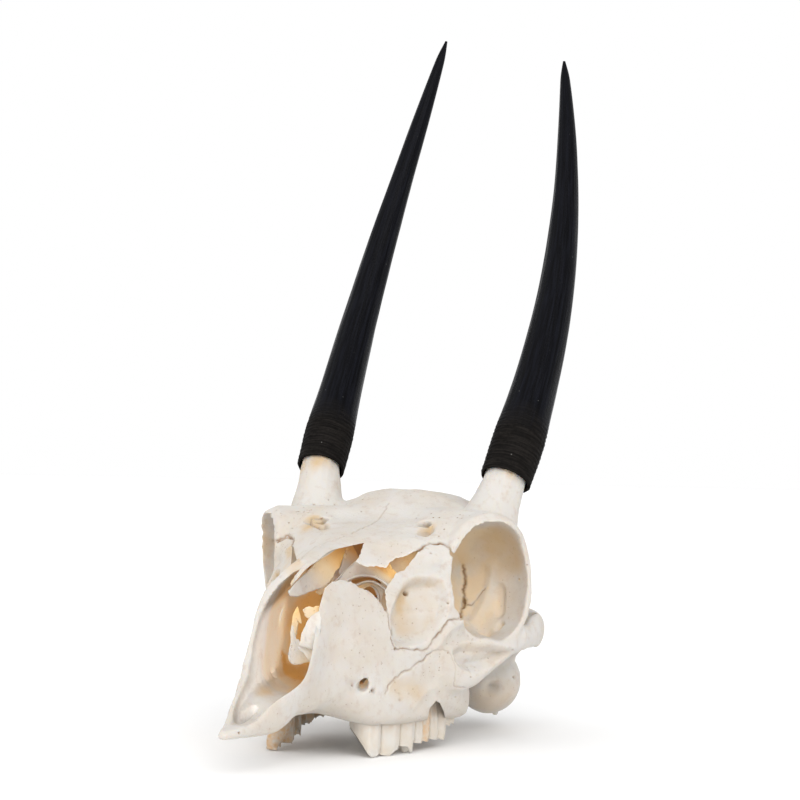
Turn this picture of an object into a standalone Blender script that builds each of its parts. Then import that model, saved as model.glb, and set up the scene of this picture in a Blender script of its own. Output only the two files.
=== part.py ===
"""Steenbok skull: one fused cranium with its bony horn cores, two hollow horn sheaths and twelve cheek teeth.

Blender 4.5, metres. +Z up, the snout points along -Y and the animal's left side is +X.
The skull stands on its worn cheek teeth and on the two processes behind the ear bullae, all at Z = 0.
Sizes below are millimetres of the real bone in the skull's own frame, where Y = 0 lies beside the third molar.
"""

import math

import bmesh
import bpy
import numpy as np
from mathutils import Matrix, Vector

MM = 0.001
ORIGIN_Y = -5.75  # the skull-frame Y that becomes the model's origin, midway from snout tip to horn tips

# Driving dimensions, in millimetres
SKULL_VOXEL = 1.0
SKULL_KEPT = 0.0262  # share of the fused shell's triangles that is kept
FIT_GAP = 0.35  # air between a tooth or a horn core and what holds it

ORBIT_CENTRE = (29.0, -0.8, 41.8)
ORBIT_AXIS = (0.85, -0.52, 0.03)  # the way the eye looks
ORBIT_RADII = (18.5, 13.4, 15.4)  # along the axis, along the skull, up
ORBIT_WALL = 1.8
ORBIT_RIM = (  # the left rim, from its front corner over the top, down the back and forwards below
    (24.6, -12.8, 49.5), (27.6, -8.5, 53.6), (31.0, -4.5, 56.0), (34.0, 0.5, 56.6), (35.8, 4.0, 54.6),
    (36.7, 6.5, 50.6), (37.0, 8.0, 46.0), (37.0, 9.0, 41.0), (36.8, 9.0, 36.0), (36.0, 7.5, 31.6),
    (34.2, 4.0, 28.2), (31.4, 0.0, 26.8), (28.8, -4.0, 28.0), (26.8, -8.5, 30.2), (25.3, -12.0, 33.2),
    (24.6, -13.4, 38.0), (24.6, -13.4, 44.0),
)
RIM_THICKNESS = 1.5

BRAIN_CENTRE = (0, 26, 41.5)
BRAIN_RADII = (21.5, 27.5, 21.5)
BRAIN_WALL = 2.0
BULLA_CENTRE = (14.6, 37.5, 13.2)  # the left ear bulla
BULLA_RADII = (8.4, 10.0, 9.2)

GUM_Z = 8.2
SOCKET_TOP_Z = 13.2
CROWN_FULL_Z = 7.2  # from here up a crown has its full size
FACET_SHARE = 0.45  # share of a crown's width that is worn level, on the cheek side

HORNS = {  # control points of each horn's centre line, from the sheath's lower rim to its tip
    "left": ((26.7, 16.0, 66.8), (31.2, 45.8, 112.0), (27.2, 60.8, 140.0), (17.8, 77.6, 184.2)),
    "right": ((-26.3, 16.2, 68.8), (-30.3, 45.3, 109.0), (-27.2, 61.2, 142.6), (-18.3, 77.2, 191.4)),
}
HORN_FULLNESS = {"left": 1.0, "right": 0.945}
HORN_RADIUS = (  # (share of the length, radius)
    (0.0, 6.65), (0.06, 6.85), (0.1, 6.7), (0.15, 6.25), (0.2, 5.9), (0.3, 5.4), (0.4, 4.85), (0.5, 4.4),
    (0.6, 3.85), (0.7, 3.25), (0.8, 2.7), (0.88, 2.1), (0.94, 1.55), (0.97, 1.15), (1.0, 0.35),
)
CORE_RADIUS = ((0.0, 5.5), (0.1, 5.1), (0.2, 4.5), (0.4, 3.1), (0.58, 1.5), (0.64, 0.7))
CORE_REACH = 0.64  # share of the sheath that the bony core fills
CORE_FOOT = (24.6, 11.0, 55.5)  # where the left core's axis starts, inside the brow

# Tooth name: (front y, back y, cheek-side x at the front, at the back, width, lobes, crown bottom z, wear).
# The wear is how fast the rest of the worn face rises towards the tongue. The third molar is half grown.
TEETH = {
    "premolar_2": (-36.6, -31.8, 14.2, 15.4, 6.2, 1, 0.0, 1.2),
    "premolar_3": (-31.5, -25.9, 15.6, 17.9, 6.6, 1, 0.3, 0.5),
    "premolar_4": (-25.6, -20.3, 18.1, 19.3, 7.4, 1, 0.5, 0.5),
    "molar_1": (-20.0, -13.1, 19.4, 20.1, 8.2, 2, 2.0, 0.5),
    "molar_2": (-12.8, -5.0, 20.3, 21.0, 8.6, 2, 1.6, 0.5),
    "molar_3": (-4.7, 2.6, 20.9, 20.0, 8.0, 2, 5.0, 0.15),
}

BONE = (0.83, 0.78, 0.68, 1.0)
ENAMEL = (0.86, 0.82, 0.73, 1.0)
KERATIN = (0.012, 0.011, 0.012, 1.0)


def clear_scene():
    for obj in list(bpy.data.objects):
        bpy.data.objects.remove(obj)


def material(name, colour, roughness):
    made = bpy.data.materials.new(name)
    made.use_nodes = True
    shader = made.node_tree.nodes["Principled BSDF"]
    shader.inputs["Base Color"].default_value = colour
    shader.inputs["Roughness"].default_value = roughness
    shader.inputs["Metallic"].default_value = 0.0
    return made


def place(points):
    """Skull-frame millimetres to model metres."""
    moved = np.asarray(points, float) - (0.0, ORIGIN_Y, 0.0)
    return moved * MM


def through(points, per_span, closed=False):
    """A Catmull-Rom curve through the points, with per_span steps between each two."""
    pts = np.asarray(points, float)
    count = len(pts)
    spans = count if closed else count - 1
    out = []
    for i in range(spans):
        if closed:
            a, b, c, d = (pts[(i + k) % count] for k in (-1, 0, 1, 2))
        else:
            b, c = pts[i], pts[i + 1]
            a = pts[i - 1] if i else 2 * b - c
            d = pts[i + 2] if i + 2 < count else 2 * c - b
        for t in np.arange(per_span) / per_span:
            square = (2 * a - 5 * b + 4 * c - d) * t**2
            cube = (3 * b - a - 3 * c + d) * t**3
            out.append(0.5 * (2 * b + (c - a) * t + square + cube))
    if not closed:
        out.append(pts[-1])
    return np.array(out)


def by_share(table, share):
    """The value at this share of the way, read off (share, value) pairs."""
    shares, values = zip(*table)
    return float(np.interp(share, shares, values))


def bezier(points, t):
    a, b, c, d = (np.asarray(p, float) for p in points)
    return (1 - t) ** 3 * a + 3 * t * (1 - t) ** 2 * b + 3 * t * t * (1 - t) * c + t**3 * d


def skin(shape, rings, point_start=True, point_end=True):
    """Adds a closed body to the bmesh from rings of equal count, with a fan at each end."""
    loops = [[shape.verts.new(p) for p in ring] for ring in rings]
    count = len(loops[0])
    for low, high in zip(loops, loops[1:]):
        for i in range(count):
            j = (i + 1) % count
            shape.faces.new((low[i], low[j], high[j], high[i]))
    for loop, turn, wanted in ((loops[0], -1, point_start), (loops[-1], 1, point_end)):
        if wanted:
            middle = shape.verts.new(sum((v.co for v in loop), Vector()) / count)
            for i in range(count):
                j = (i + 1) % count
                shape.faces.new((loop[i], loop[j], middle)[::turn])
    return loops


def loft(shape, stations, around=28, per_span=3):
    """A body lofted along Y. Each station is (y, half outline) from the lower midline to the upper one."""
    rings = []
    for y, half in stations:
        whole = list(half) + [(-x, z) for x, z in half[-2:0:-1]]
        dense = through(whole, 12, closed=True)
        steps = np.linalg.norm(np.diff(np.vstack([dense, dense[:1]]), axis=0), axis=1)
        along = np.concatenate([[0], np.cumsum(steps)])
        wanted = np.linspace(0, along[-1], around, endpoint=False)
        closed = np.vstack([dense, dense[:1]])
        ring = [(np.interp(w, along, closed[:, 0]), y, np.interp(w, along, closed[:, 1])) for w in wanted]
        rings.append(ring)
    rings = through(np.array(rings).reshape(len(rings), -1), per_span).reshape(-1, around, 3)
    skin(shape, [place(ring) for ring in rings])


def sweep(shape, path, sizes, around=12, per_span=4, up=(0, 0, 1)):
    """A tube along the path. Each size is (half width, half height), the height along `up`."""
    line = through(path, per_span)
    size = through(sizes, per_span)
    rings = []
    for i, centre in enumerate(line):
        ahead = line[min(i + 1, len(line) - 1)] - line[max(i - 1, 0)]
        ahead /= np.linalg.norm(ahead)
        side = np.cross(ahead, up)
        side /= np.linalg.norm(side)
        top = np.cross(side, ahead)
        turns = np.arange(around) * 2 * math.pi / around
        ring = [centre + size[i][0] * math.cos(a) * side + size[i][1] * math.sin(a) * top for a in turns]
        rings.append(place(ring))
    skin(shape, rings)


def turned_axes(axis):
    """Three unit vectors: the axis, one along the skull and one up."""
    along = np.asarray(axis, float) / np.linalg.norm(axis)
    side = np.cross((0, 0, 1), along)
    side /= np.linalg.norm(side)
    return along, side, np.cross(along, side)


def ellipsoid(shape, centre, radii, axis=(1, 0, 0), detail=2):
    """An ellipsoid whose first radius lies along the axis."""
    along, side, top = turned_axes(axis)
    matrix = np.eye(4)
    for column, (direction, radius) in enumerate(zip((along, side, top), radii)):
        matrix[:3, column] = direction * radius * MM
    matrix[:3, 3] = place(centre)
    bmesh.ops.create_icosphere(shape, subdivisions=detail, radius=1.0, matrix=Matrix(matrix))


def both_sides(build, shape):
    """Builds a left-hand body and its mirror image."""
    for side in (1, -1):
        part = bmesh.new()
        build(part)
        if side < 0:
            bmesh.ops.scale(part, vec=(-1, 1, 1), verts=part.verts)
            bmesh.ops.reverse_faces(part, faces=part.faces)
        bmesh.ops.recalc_face_normals(part, faces=part.faces)
        copy = bpy.data.meshes.new("half")
        part.to_mesh(copy)
        part.free()
        shape.from_mesh(copy)
        bpy.data.meshes.remove(copy)


def face_and_snout(shape):
    """Premaxillae, maxillae, nasal bones and the cheeks, back to the orbits."""
    stations = (
        (-89.5, ((0, 8.4), (0.9, 8.5), (1.3, 9.3), (0.9, 10.2), (0, 10.4))),
        (-86.0, ((0, 8.3), (2.0, 8.4), (2.7, 9.6), (2.1, 11.2), (0, 11.6))),
        (-80.0, ((0, 8.4), (3.4, 8.5), (4.3, 10.4), (3.7, 12.8), (0, 13.8))),
        (-75.0, ((0, 8.6), (4.5, 8.7), (5.6, 11.2), (5.0, 15.2), (0, 17.0))),
        (-70.0, ((0, 9.2), (5.6, 9.3), (6.9, 12.8), (6.6, 18.2), (0, 21.0))),
        (-66.0, ((0, 10.6), (6.3, 10.8), (8.0, 15.0), (8.0, 21.6), (0, 26.0))),
        (-62.0, ((0, 12.2), (7.0, 12.5), (9.1, 18.0), (9.4, 27.5), (0, 35.0))),
        (-57.0, ((0, 12.6), (7.8, 12.8), (9.7, 19.5), (9.4, 32.0), (0, 41.5))),
        (-52.0, ((0, 12.8), (8.8, 13.6), (10.6, 20.5), (9.2, 38.0), (0, 45.4))),
        (-46.0, ((0, 11.8), (10.4, 12.4), (12.4, 20.0), (10.4, 38.6), (0, 47.8))),
        (-38.0, ((0, 10.2), (14.4, 8.6), (16.2, 17.0), (13.4, 38.0), (0, 49.8))),
        (-30.0, ((0, 9.6), (17.9, 8.0), (19.6, 17.0), (16.8, 38.0), (0, 51.6))),
        (-22.0, ((0, 9.4), (20.2, 7.8), (22.4, 18.0), (19.6, 42.0), (0, 53.6))),
        (-14.0, ((0, 9.4), (21.2, 7.8), (25.4, 20.0), (24.6, 42.0), (0, 54.8))),
        (-7.0, ((0, 9.6), (21.8, 7.4), (25.6, 18.0), (22.0, 38.0), (0, 53.0))),
        (1.0, ((0, 10.0), (21.2, 6.8), (23.6, 15.0), (16.0, 33.0), (0, 50.0))),
        (7.0, ((0, 13.0), (18.0, 8.6), (20.0, 13.0), (10.0, 30.0), (0, 44.0))),
    )
    loft(shape, stations)


def brow(shape):
    """The frontal bones: a roof over both orbits that rises to the crown between the horns."""
    stations = (
        (-24.0, ((0, 48.6), (8.0, 47.4), (11.0, 48.6), (8.0, 50.6), (0, 53.2))),
        (-18.0, ((0, 47.5), (16.0, 44.5), (20.0, 46.4), (15.0, 51.0), (0, 54.2))),
        (-11.0, ((0, 46.5), (20.0, 46.5), (25.6, 49.6), (18.0, 53.6), (0, 55.2))),
        (-5.0, ((0, 46.5), (24.0, 50.0), (31.4, 54.0), (23.0, 57.0), (0, 56.0))),
        (1.0, ((0, 46.5), (28.0, 51.4), (34.8, 55.2), (26.0, 59.0), (0, 59.0))),
        (7.0, ((0, 46.5), (29.0, 50.6), (36.4, 53.4), (28.0, 58.2), (17.0, 58.6), (8.0, 61.2), (0, 62.0))),
        (12.0, ((0, 46.5), (27.0, 49.0), (34.0, 52.4), (27.0, 58.0), (17.4, 59.8), (9.5, 63.0), (0, 64.0))),
        (17.0, ((0, 46.5), (22.0, 48.0), (28.0, 51.6), (22.0, 58.0), (16.6, 60.6), (8.5, 63.2), (0, 63.8))),
        (23.0, ((0, 46.5), (14.0, 48.0), (20.0, 52.0), (18.6, 58.6), (13.4, 61.6), (7.0, 63.0), (0, 63.4))),
    )
    loft(shape, stations)


def braincase(shape):
    """Brain case, occipital plate, skull base and the two condyles."""
    ellipsoid(shape, BRAIN_CENTRE, BRAIN_RADII, detail=4)
    stations = (
        (6.0, ((0, 21.0), (5.0, 21.0), (8.5, 30.0), (9.0, 42.0), (0, 50.0))),
        (18.0, ((0, 18.0), (6.0, 18.5), (13.0, 28.0), (16.0, 40.0), (0, 52.0))),
        (32.0, ((0, 15.0), (8.0, 15.5), (20.0, 24.0), (21.0, 36.0), (0, 52.0))),
        (44.0, ((0, 15.5), (9.0, 16.0), (20.5, 24.0), (20.5, 38.0), (0, 50.0))),
        (51.0, ((0, 17.0), (8.0, 17.0), (14.0, 25.0), (13.0, 38.0), (0, 45.0))),
    )
    loft(shape, stations)


def half_head(shape):
    """Everything that the head has twice: orbit, cheek bone, arch, bulla, condyle and crests."""
    ellipsoid(shape, ORBIT_CENTRE, tuple(r + ORBIT_WALL for r in ORBIT_RADII), ORBIT_AXIS, detail=3)
    open_end = bmesh.ops.bisect_plane(
        shape,
        geom=shape.verts[:] + shape.edges[:] + shape.faces[:],
        plane_co=place(np.mean(ORBIT_RIM, axis=0)),
        plane_no=ORBIT_AXIS,
        clear_outer=True,
    )
    edges = [e for e in open_end["geom_cut"] if isinstance(e, bmesh.types.BMEdge)]
    bmesh.ops.edgeloop_fill(shape, edges=edges)
    orbit_rim(shape)
    sweep(  # cheek bone below the eye
        shape,
        ((22.0, -18.0, 21.6), (26.0, -11.0, 21.2), (30.0, -3.0, 23.2), (33.4, 5.0, 26.0), (35.0, 12.0, 27.0)),
        ((3.0, 7.0), (3.4, 6.6), (2.8, 4.8), (2.2, 3.4), (1.9, 3.0)),
    )
    sweep(  # zygomatic arch
        shape,
        ((34.8, 8.0, 27.4), (34.6, 14.0, 27.2), (34.0, 20.0, 28.0),
         (32.2, 26.0, 27.8), (28.0, 33.0, 28.0), (20.0, 37.0, 29.0)),
        ((2.0, 3.2), (1.8, 3.2), (2.0, 4.2), (2.3, 4.6), (3.4, 4.6), (5.0, 4.8)),
    )
    ellipsoid(shape, BULLA_CENTRE, BULLA_RADII, detail=3)
    sweep(  # process behind the bulla, one of the feet the skull stands on
        shape,
        ((15.6, 44.0, 24.0), (14.6, 46.6, 12.0), (12.8, 47.8, 2.0), (12.4, 48.0, -3.0)),
        ((5.0, 4.0), (3.6, 2.8), (2.1, 1.8), (1.7, 1.5)),
        up=(0, 1, 0),
    )
    ellipsoid(shape, (7.4, 52.0, 19.0), (4.4, 6.0, 6.4), detail=3)  # condyle
    sweep(  # nuchal crest
        shape,
        ((0.0, 50.5, 48.5), (9.0, 49.6, 46.5), (17.5, 46.0, 40.0), (21.5, 42.0, 30.0)),
        ((2.0, 2.2), (2.0, 2.2), (2.0, 2.2), (2.4, 2.4)),
    )
    sweep(  # pterygoid plate beside the choana
        shape,
        ((8.0, 1.0, 14.0), (6.4, 9.0, 13.0), (5.6, 17.0, 15.0), (6.0, 25.0, 18.0)),
        ((1.5, 5.0), (1.3, 6.0), (1.3, 6.0), (2.0, 5.0)),
    )


def orbit_rim(shape):
    """A raised ring round the eye, widest behind, where it is the bar between brow and cheek."""
    line = through(ORBIT_RIM, 2, closed=True)
    middle = np.mean(ORBIT_RIM, axis=0)
    rings = []
    for i, centre in enumerate(line):
        ahead = line[(i + 1) % len(line)] - line[i - 1]
        ahead /= np.linalg.norm(ahead)
        out = centre - middle
        out -= ahead * np.dot(out, ahead)
        out /= np.linalg.norm(out)
        inward = np.cross(out, ahead)
        behind = max(0.0, (centre[1] - middle[1]) / 12)
        centre = centre - np.array(ORBIT_AXIS) * (1.0 + 1.6 * behind)
        turns = np.arange(8) * 2 * math.pi / 8
        depth = RIM_THICKNESS * (1.1 + 1.2 * behind)
        ring = [centre + RIM_THICKNESS * math.cos(a) * out + depth * math.sin(a) * inward for a in turns]
        rings.append(place(ring))
    loops = skin(shape, rings, point_start=False, point_end=False)
    for i in range(8):
        j = (i + 1) % 8
        shape.faces.new((loops[-1][i], loops[-1][j], loops[0][j], loops[0][i]))


def horn_core(shape, side):
    """A bony core, from inside the brow up into the sheath."""
    curve = HORNS[side]
    shares = (0.0, 0.1, 0.2, 0.4, CORE_REACH)
    inside = [bezier(curve, t) for t in shares]
    foot = np.array(CORE_FOOT) * ((1 if side == "left" else -1), 1, 1)
    waist = foot + (np.asarray(curve[0]) - foot) * 0.55
    radii = [(7.6, 7.0), (6.1, 5.9)] + [(by_share(CORE_RADIUS, t) * HORN_FULLNESS[side],) * 2 for t in shares]
    sweep(shape, [foot, waist] + inside, radii, around=14, up=(0, -1, 0))


def object_from(shape, name, finish=None):
    bmesh.ops.recalc_face_normals(shape, faces=shape.faces)
    mesh = bpy.data.meshes.new(name)
    shape.to_mesh(mesh)
    shape.free()
    obj = bpy.data.objects.new(name, mesh)
    bpy.context.scene.collection.objects.link(obj)
    if finish:
        mesh.materials.append(finish)
    return obj


def cutter(collection, name, build):
    shape = bmesh.new()
    build(shape)
    obj = object_from(shape, name)
    bpy.context.scene.collection.objects.unlink(obj)
    collection.objects.link(obj)
    obj.hide_render = True
    obj.display_type = "WIRE"
    return obj


def nasal_cavity(shape):
    """The hollow of the nose, open at the front above the premaxillae."""
    stations = (
        (-83.0, ((0, 10.6), (1.6, 10.8), (2.2, 12.0), (1.8, 20.0), (0, 22.0))),
        (-79.0, ((0, 10.8), (2.4, 11.0), (2.9, 13.0), (2.6, 24.0), (0, 26.0))),
        (-75.0, ((0, 11.2), (3.4, 11.8), (4.2, 14.0), (3.8, 28.0), (0, 30.0))),
        (-70.0, ((0, 12.0), (4.4, 13.0), (5.4, 16.0), (5.2, 30.0), (0, 34.0))),
        (-66.0, ((0, 13.2), (5.0, 14.4), (6.5, 18.0), (6.6, 32.0), (0, 38.0))),
        (-62.0, ((0, 14.6), (5.8, 16.0), (7.6, 21.0), (7.9, 34.0), (0, 42.0))),
        (-57.0, ((0, 15.2), (6.4, 17.0), (8.2, 23.0), (7.9, 34.0), (0, 40.0))),
        (-52.0, ((0, 15.4), (7.2, 17.0), (9.1, 24.0), (7.7, 37.0), (0, 43.6))),
        (-46.0, ((0, 15.0), (8.6, 17.0), (10.8, 24.0), (8.8, 37.4), (0, 45.8))),
        (-38.0, ((0, 14.6), (10.6, 17.0), (13.4, 25.0), (11.6, 37.0), (0, 47.8))),
        (-28.0, ((0, 14.6), (11.4, 17.4), (14.4, 26.0), (13.0, 38.5), (0, 50.0))),
        (-18.0, ((0, 15.0), (10.0, 18.0), (12.4, 27.0), (11.6, 40.0), (0, 51.8))),
        (-10.0, ((0, 16.0), (6.0, 18.0), (7.4, 27.0), (7.6, 38.0), (0, 49.0))),
        (-5.0, ((0, 20.0), (3.0, 21.0), (4.0, 27.0), (3.4, 33.0), (0, 42.0))),
    )
    loft(shape, stations, around=18, per_span=1)


def nostril_notch(shape):
    """Cuts the side walls down to the long slope from the nasal bone to the front tip."""
    profile = (
        (-42.0, 60.0), (-44.5, 49.0), (-47.5, 45.0), (-50.0, 41.5), (-52.0, 38.5), (-54.6, 34.6),
        (-57.2, 29.4), (-59.6, 25.0), (-63.0, 20.8), (-66.3, 18.8), (-70.0, 16.9), (-75.0, 14.3),
        (-79.0, 12.4), (-82.5, 11.2), (-88.0, 10.6), (-95.0, 10.6), (-95.0, 60.0),
    )
    loops = []
    for x in (-30, 30):
        loops.append([shape.verts.new(place((x, y, z))) for y, z in profile])
    skin_between(shape, loops)


def skin_between(shape, loops):
    """Closes the space between two flat outlines of equal count."""
    count = len(loops[0])
    for i in range(count):
        j = (i + 1) % count
        shape.faces.new((loops[0][i], loops[0][j], loops[1][j], loops[1][i]))
    shape.faces.new(loops[0][::-1])
    shape.faces.new(loops[1])


def extrude_plan(shape, plan, low, high):
    """A prism over a plan outline in X and Y."""
    loops = []
    for z in (low, high):
        loops.append([shape.verts.new(place((x, y, z))) for x, y in plan])
    skin_between(shape, loops)


def lost_nasal(shape):
    """The window where the left nasal bone has come away, with the broken edge of the frontal behind it."""
    plan = (
        (0.4, -64.0), (6.4, -64.0), (6.9, -48.5), (7.5, -46.3), (8.2, -43.0), (9.5, -39.8),
        (11.0, -37.8), (13.0, -35.2), (15.2, -33.4), (15.2, -29.0), (15.8, -25.0), (17.4, -20.0),
        (19.4, -14.2), (15.0, -16.0), (11.5, -21.4), (8.0, -23.6), (4.2, -25.4), (3.4, -21.4), (0.4, -23.0),
    )
    extrude_plan(shape, plan, 35.6, 60.0)


def eye_hollow(shape):
    ellipsoid(shape, ORBIT_CENTRE, ORBIT_RADII, ORBIT_AXIS, detail=3)
    along = np.array(ORBIT_AXIS) / np.linalg.norm(ORBIT_AXIS)
    ellipsoid(shape, np.array(ORBIT_CENTRE) + along * 14.0, (14.0, 12.4, 14.0), ORBIT_AXIS)


def temporal_gap(shape):
    """The gap behind the orbit, between the arch and the brain case."""
    ellipsoid(shape, (27.4, 24.0, 33.0), (5.0, 7.4, 22.0))


def gland_pit(shape):
    """The deep pit for the face gland in front of the eye."""
    ellipsoid(shape, (26.2, -23.4, 35.0), (5.6, 9.8, 10.8), (0.92, -0.38, 0.1))


def brow_hollow(shape):
    """Thins the frontal bones over the back of the nose."""
    ellipsoid(shape, (0.0, -17.0, 45.4), (15.0, 11.5, 7.0))


def brain_hollow(shape):
    ellipsoid(shape, BRAIN_CENTRE, tuple(r - BRAIN_WALL for r in BRAIN_RADII))


def foramen_magnum(shape):
    sweep(shape, ((0, 38, 30), (0, 48, 26.5), (0, 60, 23.0)), ((6.2, 5.4), (5.8, 5.4), (6.2, 5.8)))


def choana(shape):
    """The air way from the nose to the throat, under the skull base."""
    path = ((0, -14, 19), (0, -4, 17), (0, 6, 12.0), (0, 18, 7.0))
    sweep(shape, path, ((5.4, 3.2), (4.6, 3.4), (4.2, 4.4), (4.4, 6.0)))


def brow_hole(shape):
    path = ((13.4, -8.6, 59.0), (14.6, -6.4, 54.4), (16.0, -3.0, 50.0))
    sweep(shape, path, ((2.0, 2.0), (1.7, 1.7), (1.2, 1.2)), around=8)


def cheek_hole(shape):
    """The infraorbital foramen, which opens forwards above the second premolar."""
    path = ((17.6, -46.0, 16.5), (14.2, -41.0, 18.4), (10.6, -34.0, 20.6))
    sweep(shape, path, ((1.2, 1.4), (1.2, 1.4), (1.0, 1.2)), around=8)


def palate_slit(shape):
    """The long opening through the floor of the nose, behind each front end."""
    path = ((2.4, -78, 11.6), (3.2, -71, 12.2), (3.6, -64, 13.4))
    sweep(shape, path, ((0.9, 4.0), (1.3, 4.0), (0.9, 4.0)), around=8)


def level_foot(shape):
    """Trims what would reach below the surface that the skull stands on."""
    extrude_plan(shape, ((-40, 30), (40, 30), (40, 60), (-40, 60)), -12.0, 0.0)


def tooth_outline(front, back, cheek_front, cheek_back, width, lobes, grow):
    """The plan of one tooth: `lobes` swellings on its cheek side and a plain round tongue side."""
    steps = 6 * lobes
    outline = []
    for i in range(steps + 1):
        share = i / steps
        swell = 0.9 * abs(math.sin(math.pi * share * lobes)) ** 0.7 - 0.9
        y = front + (back - front) * share
        x = cheek_front + (cheek_back - cheek_front) * share
        outline.append((x + swell, y))
    inner = [(x - width + 1.2 * (1 - math.sin(math.pi * i / steps)), y) for i, (x, y) in enumerate(outline)]
    outline += inner[::-2] if len(inner) % 2 else inner[::-1]
    middle = np.mean(outline, axis=0)
    out = []
    for point in outline:
        away = np.array(point) - middle
        out.append(middle + away * (1 + grow / np.linalg.norm(away)))
    return out


def tooth_body(shape, key, grow=0.0, top=SOCKET_TOP_Z, low=None):
    """A crown that narrows to its worn edge, with its root in the jaw. The socket is the same body, grown."""
    front, back, cheek_front, cheek_back, width, lobes, bottom, wear = TEETH[key]

    def ring(z, inset, slope=0.0, facet=None):
        outline = tooth_outline(front, back, cheek_front, cheek_back, width, lobes, grow + inset)
        cheek = max(x for x, y in outline)
        if facet:
            return place([(max(x, cheek - facet), y, z) for x, y in outline])
        return place([(x, y, z + slope * max(0.0, cheek - facet_reach - x)) for x, y in outline])

    facet_reach = width * FACET_SHARE
    root = [ring(GUM_Z, -0.25), ring(top, -1.1)]
    if low is not None:
        skin(shape, [ring(low, 0.0)] + root)
        return
    worn = [ring(bottom, -0.9, facet=facet_reach), ring(bottom + 1.0, -0.15, slope=wear)]
    skin(shape, worn + [ring(CROWN_FULL_Z, 0.0)] + root)


def sockets(shape):
    for key in TEETH:
        tooth_body(shape, key, grow=FIT_GAP, top=SOCKET_TOP_Z + FIT_GAP, low=-1.0)


def cranium(finish):
    shape = bmesh.new()
    face_and_snout(shape)
    brow(shape)
    braincase(shape)
    both_sides(half_head, shape)
    for side in HORNS:
        horn_core(shape, side)
    skull = object_from(shape, "cranium", finish)
    remesh = skull.modifiers.new("Fuse", "REMESH")
    remesh.mode = "VOXEL"
    remesh.voxel_size = SKULL_VOXEL * MM
    soften = skull.modifiers.new("Soften", "SMOOTH")
    soften.factor = 0.5
    soften.iterations = 3
    thin = skull.modifiers.new("Thin", "DECIMATE")
    thin.ratio = SKULL_KEPT
    cutters = bpy.data.collections.new("cutters")
    cutters.hide_render = True
    bpy.context.scene.collection.children.link(cutters)
    middle = {
        "nasal_cavity": nasal_cavity,
        "nostril_notch": nostril_notch,
        "lost_nasal": lost_nasal,
        "brow_hollow": brow_hollow,
        "brain_hollow": brain_hollow,
        "foramen_magnum": foramen_magnum,
        "choana": choana,
        "level_foot": level_foot,
    }
    for name, build in middle.items():
        cutter(cutters, name, build)
    for name, build in {
        "eye_hollow": eye_hollow,
        "temporal_gap": temporal_gap,
        "gland_pit": gland_pit,
        "brow_hole": brow_hole,
        "cheek_hole": cheek_hole,
        "palate_slit": palate_slit,
        "sockets": sockets,
    }.items():
        cutter(cutters, name, lambda shape, build=build: both_sides(build, shape))
    cut = skull.modifiers.new("Hollow", "BOOLEAN")
    cut.operation = "DIFFERENCE"
    cut.operand_type = "COLLECTION"
    cut.collection = cutters
    cut.solver = "EXACT"
    cut.use_self = True
    return skull


def horn_sheath(side, finish):
    """A hollow horn of keratin over the bony core: open at its lower rim, solid towards the tip."""
    curve = HORNS[side]
    around = 14
    full = HORN_FULLNESS[side]
    outer = [(t, by_share(HORN_RADIUS, t) * full) for t, _ in HORN_RADIUS]
    inner = []
    for t in np.linspace(0, CORE_REACH + 0.03, 8):
        inner.append((t, by_share(CORE_RADIUS, min(t, CORE_REACH)) * full + FIT_GAP + 0.05))
    shape = bmesh.new()

    def ring(t, radius):
        step = 0.01
        ahead = bezier(curve, min(1, t + step)) - bezier(curve, max(0, t - step))
        ahead /= np.linalg.norm(ahead)
        across = np.cross(ahead, (0, -1, 0))
        across /= np.linalg.norm(across)
        top = np.cross(across, ahead)
        turns = np.arange(around) * 2 * math.pi / around
        return place([bezier(curve, t) + radius * (math.cos(a) * across + math.sin(a) * top) for a in turns])

    rings = [ring(t, r) for t, r in inner[::-1]] + [ring(t, r) for t, r in outer]
    skin(shape, rings)
    return object_from(shape, f"horn_sheath_{side}", finish)


def tooth(key, side, finish):
    shape = bmesh.new()
    tooth_body(shape, key)
    if side == "right":
        bmesh.ops.scale(shape, vec=(-1, 1, 1), verts=shape.verts)
        bmesh.ops.reverse_faces(shape, faces=shape.faces)
    return object_from(shape, f"{key}_{side}", finish)


def main():
    clear_scene()
    bone = material("bone", BONE, 0.6)
    enamel = material("enamel", ENAMEL, 0.35)
    keratin = material("keratin", KERATIN, 0.4)
    cranium(bone)
    for side in ("left", "right"):
        horn_sheath(side, keratin)
        for key in TEETH:
            tooth(key, side, enamel)


main()
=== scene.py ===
"""Steenbok skull: the finished bone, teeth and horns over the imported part, on a white studio floor.

Shapes are worked out in millimetres of the skull's own frame: the snout points along -Y, the animal's left
is +X and Z = 0 is the level that the teeth stand on. They become metres when an object is made.
"""

import math
from functools import partial

import bmesh
import bpy
import numpy as np
from bpy.props import FloatProperty, FloatVectorProperty, IntProperty, PointerProperty
from mathutils import Matrix, Vector
from mathutils.bvhtree import BVHTree
from mathutils.kdtree import KDTree


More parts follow.
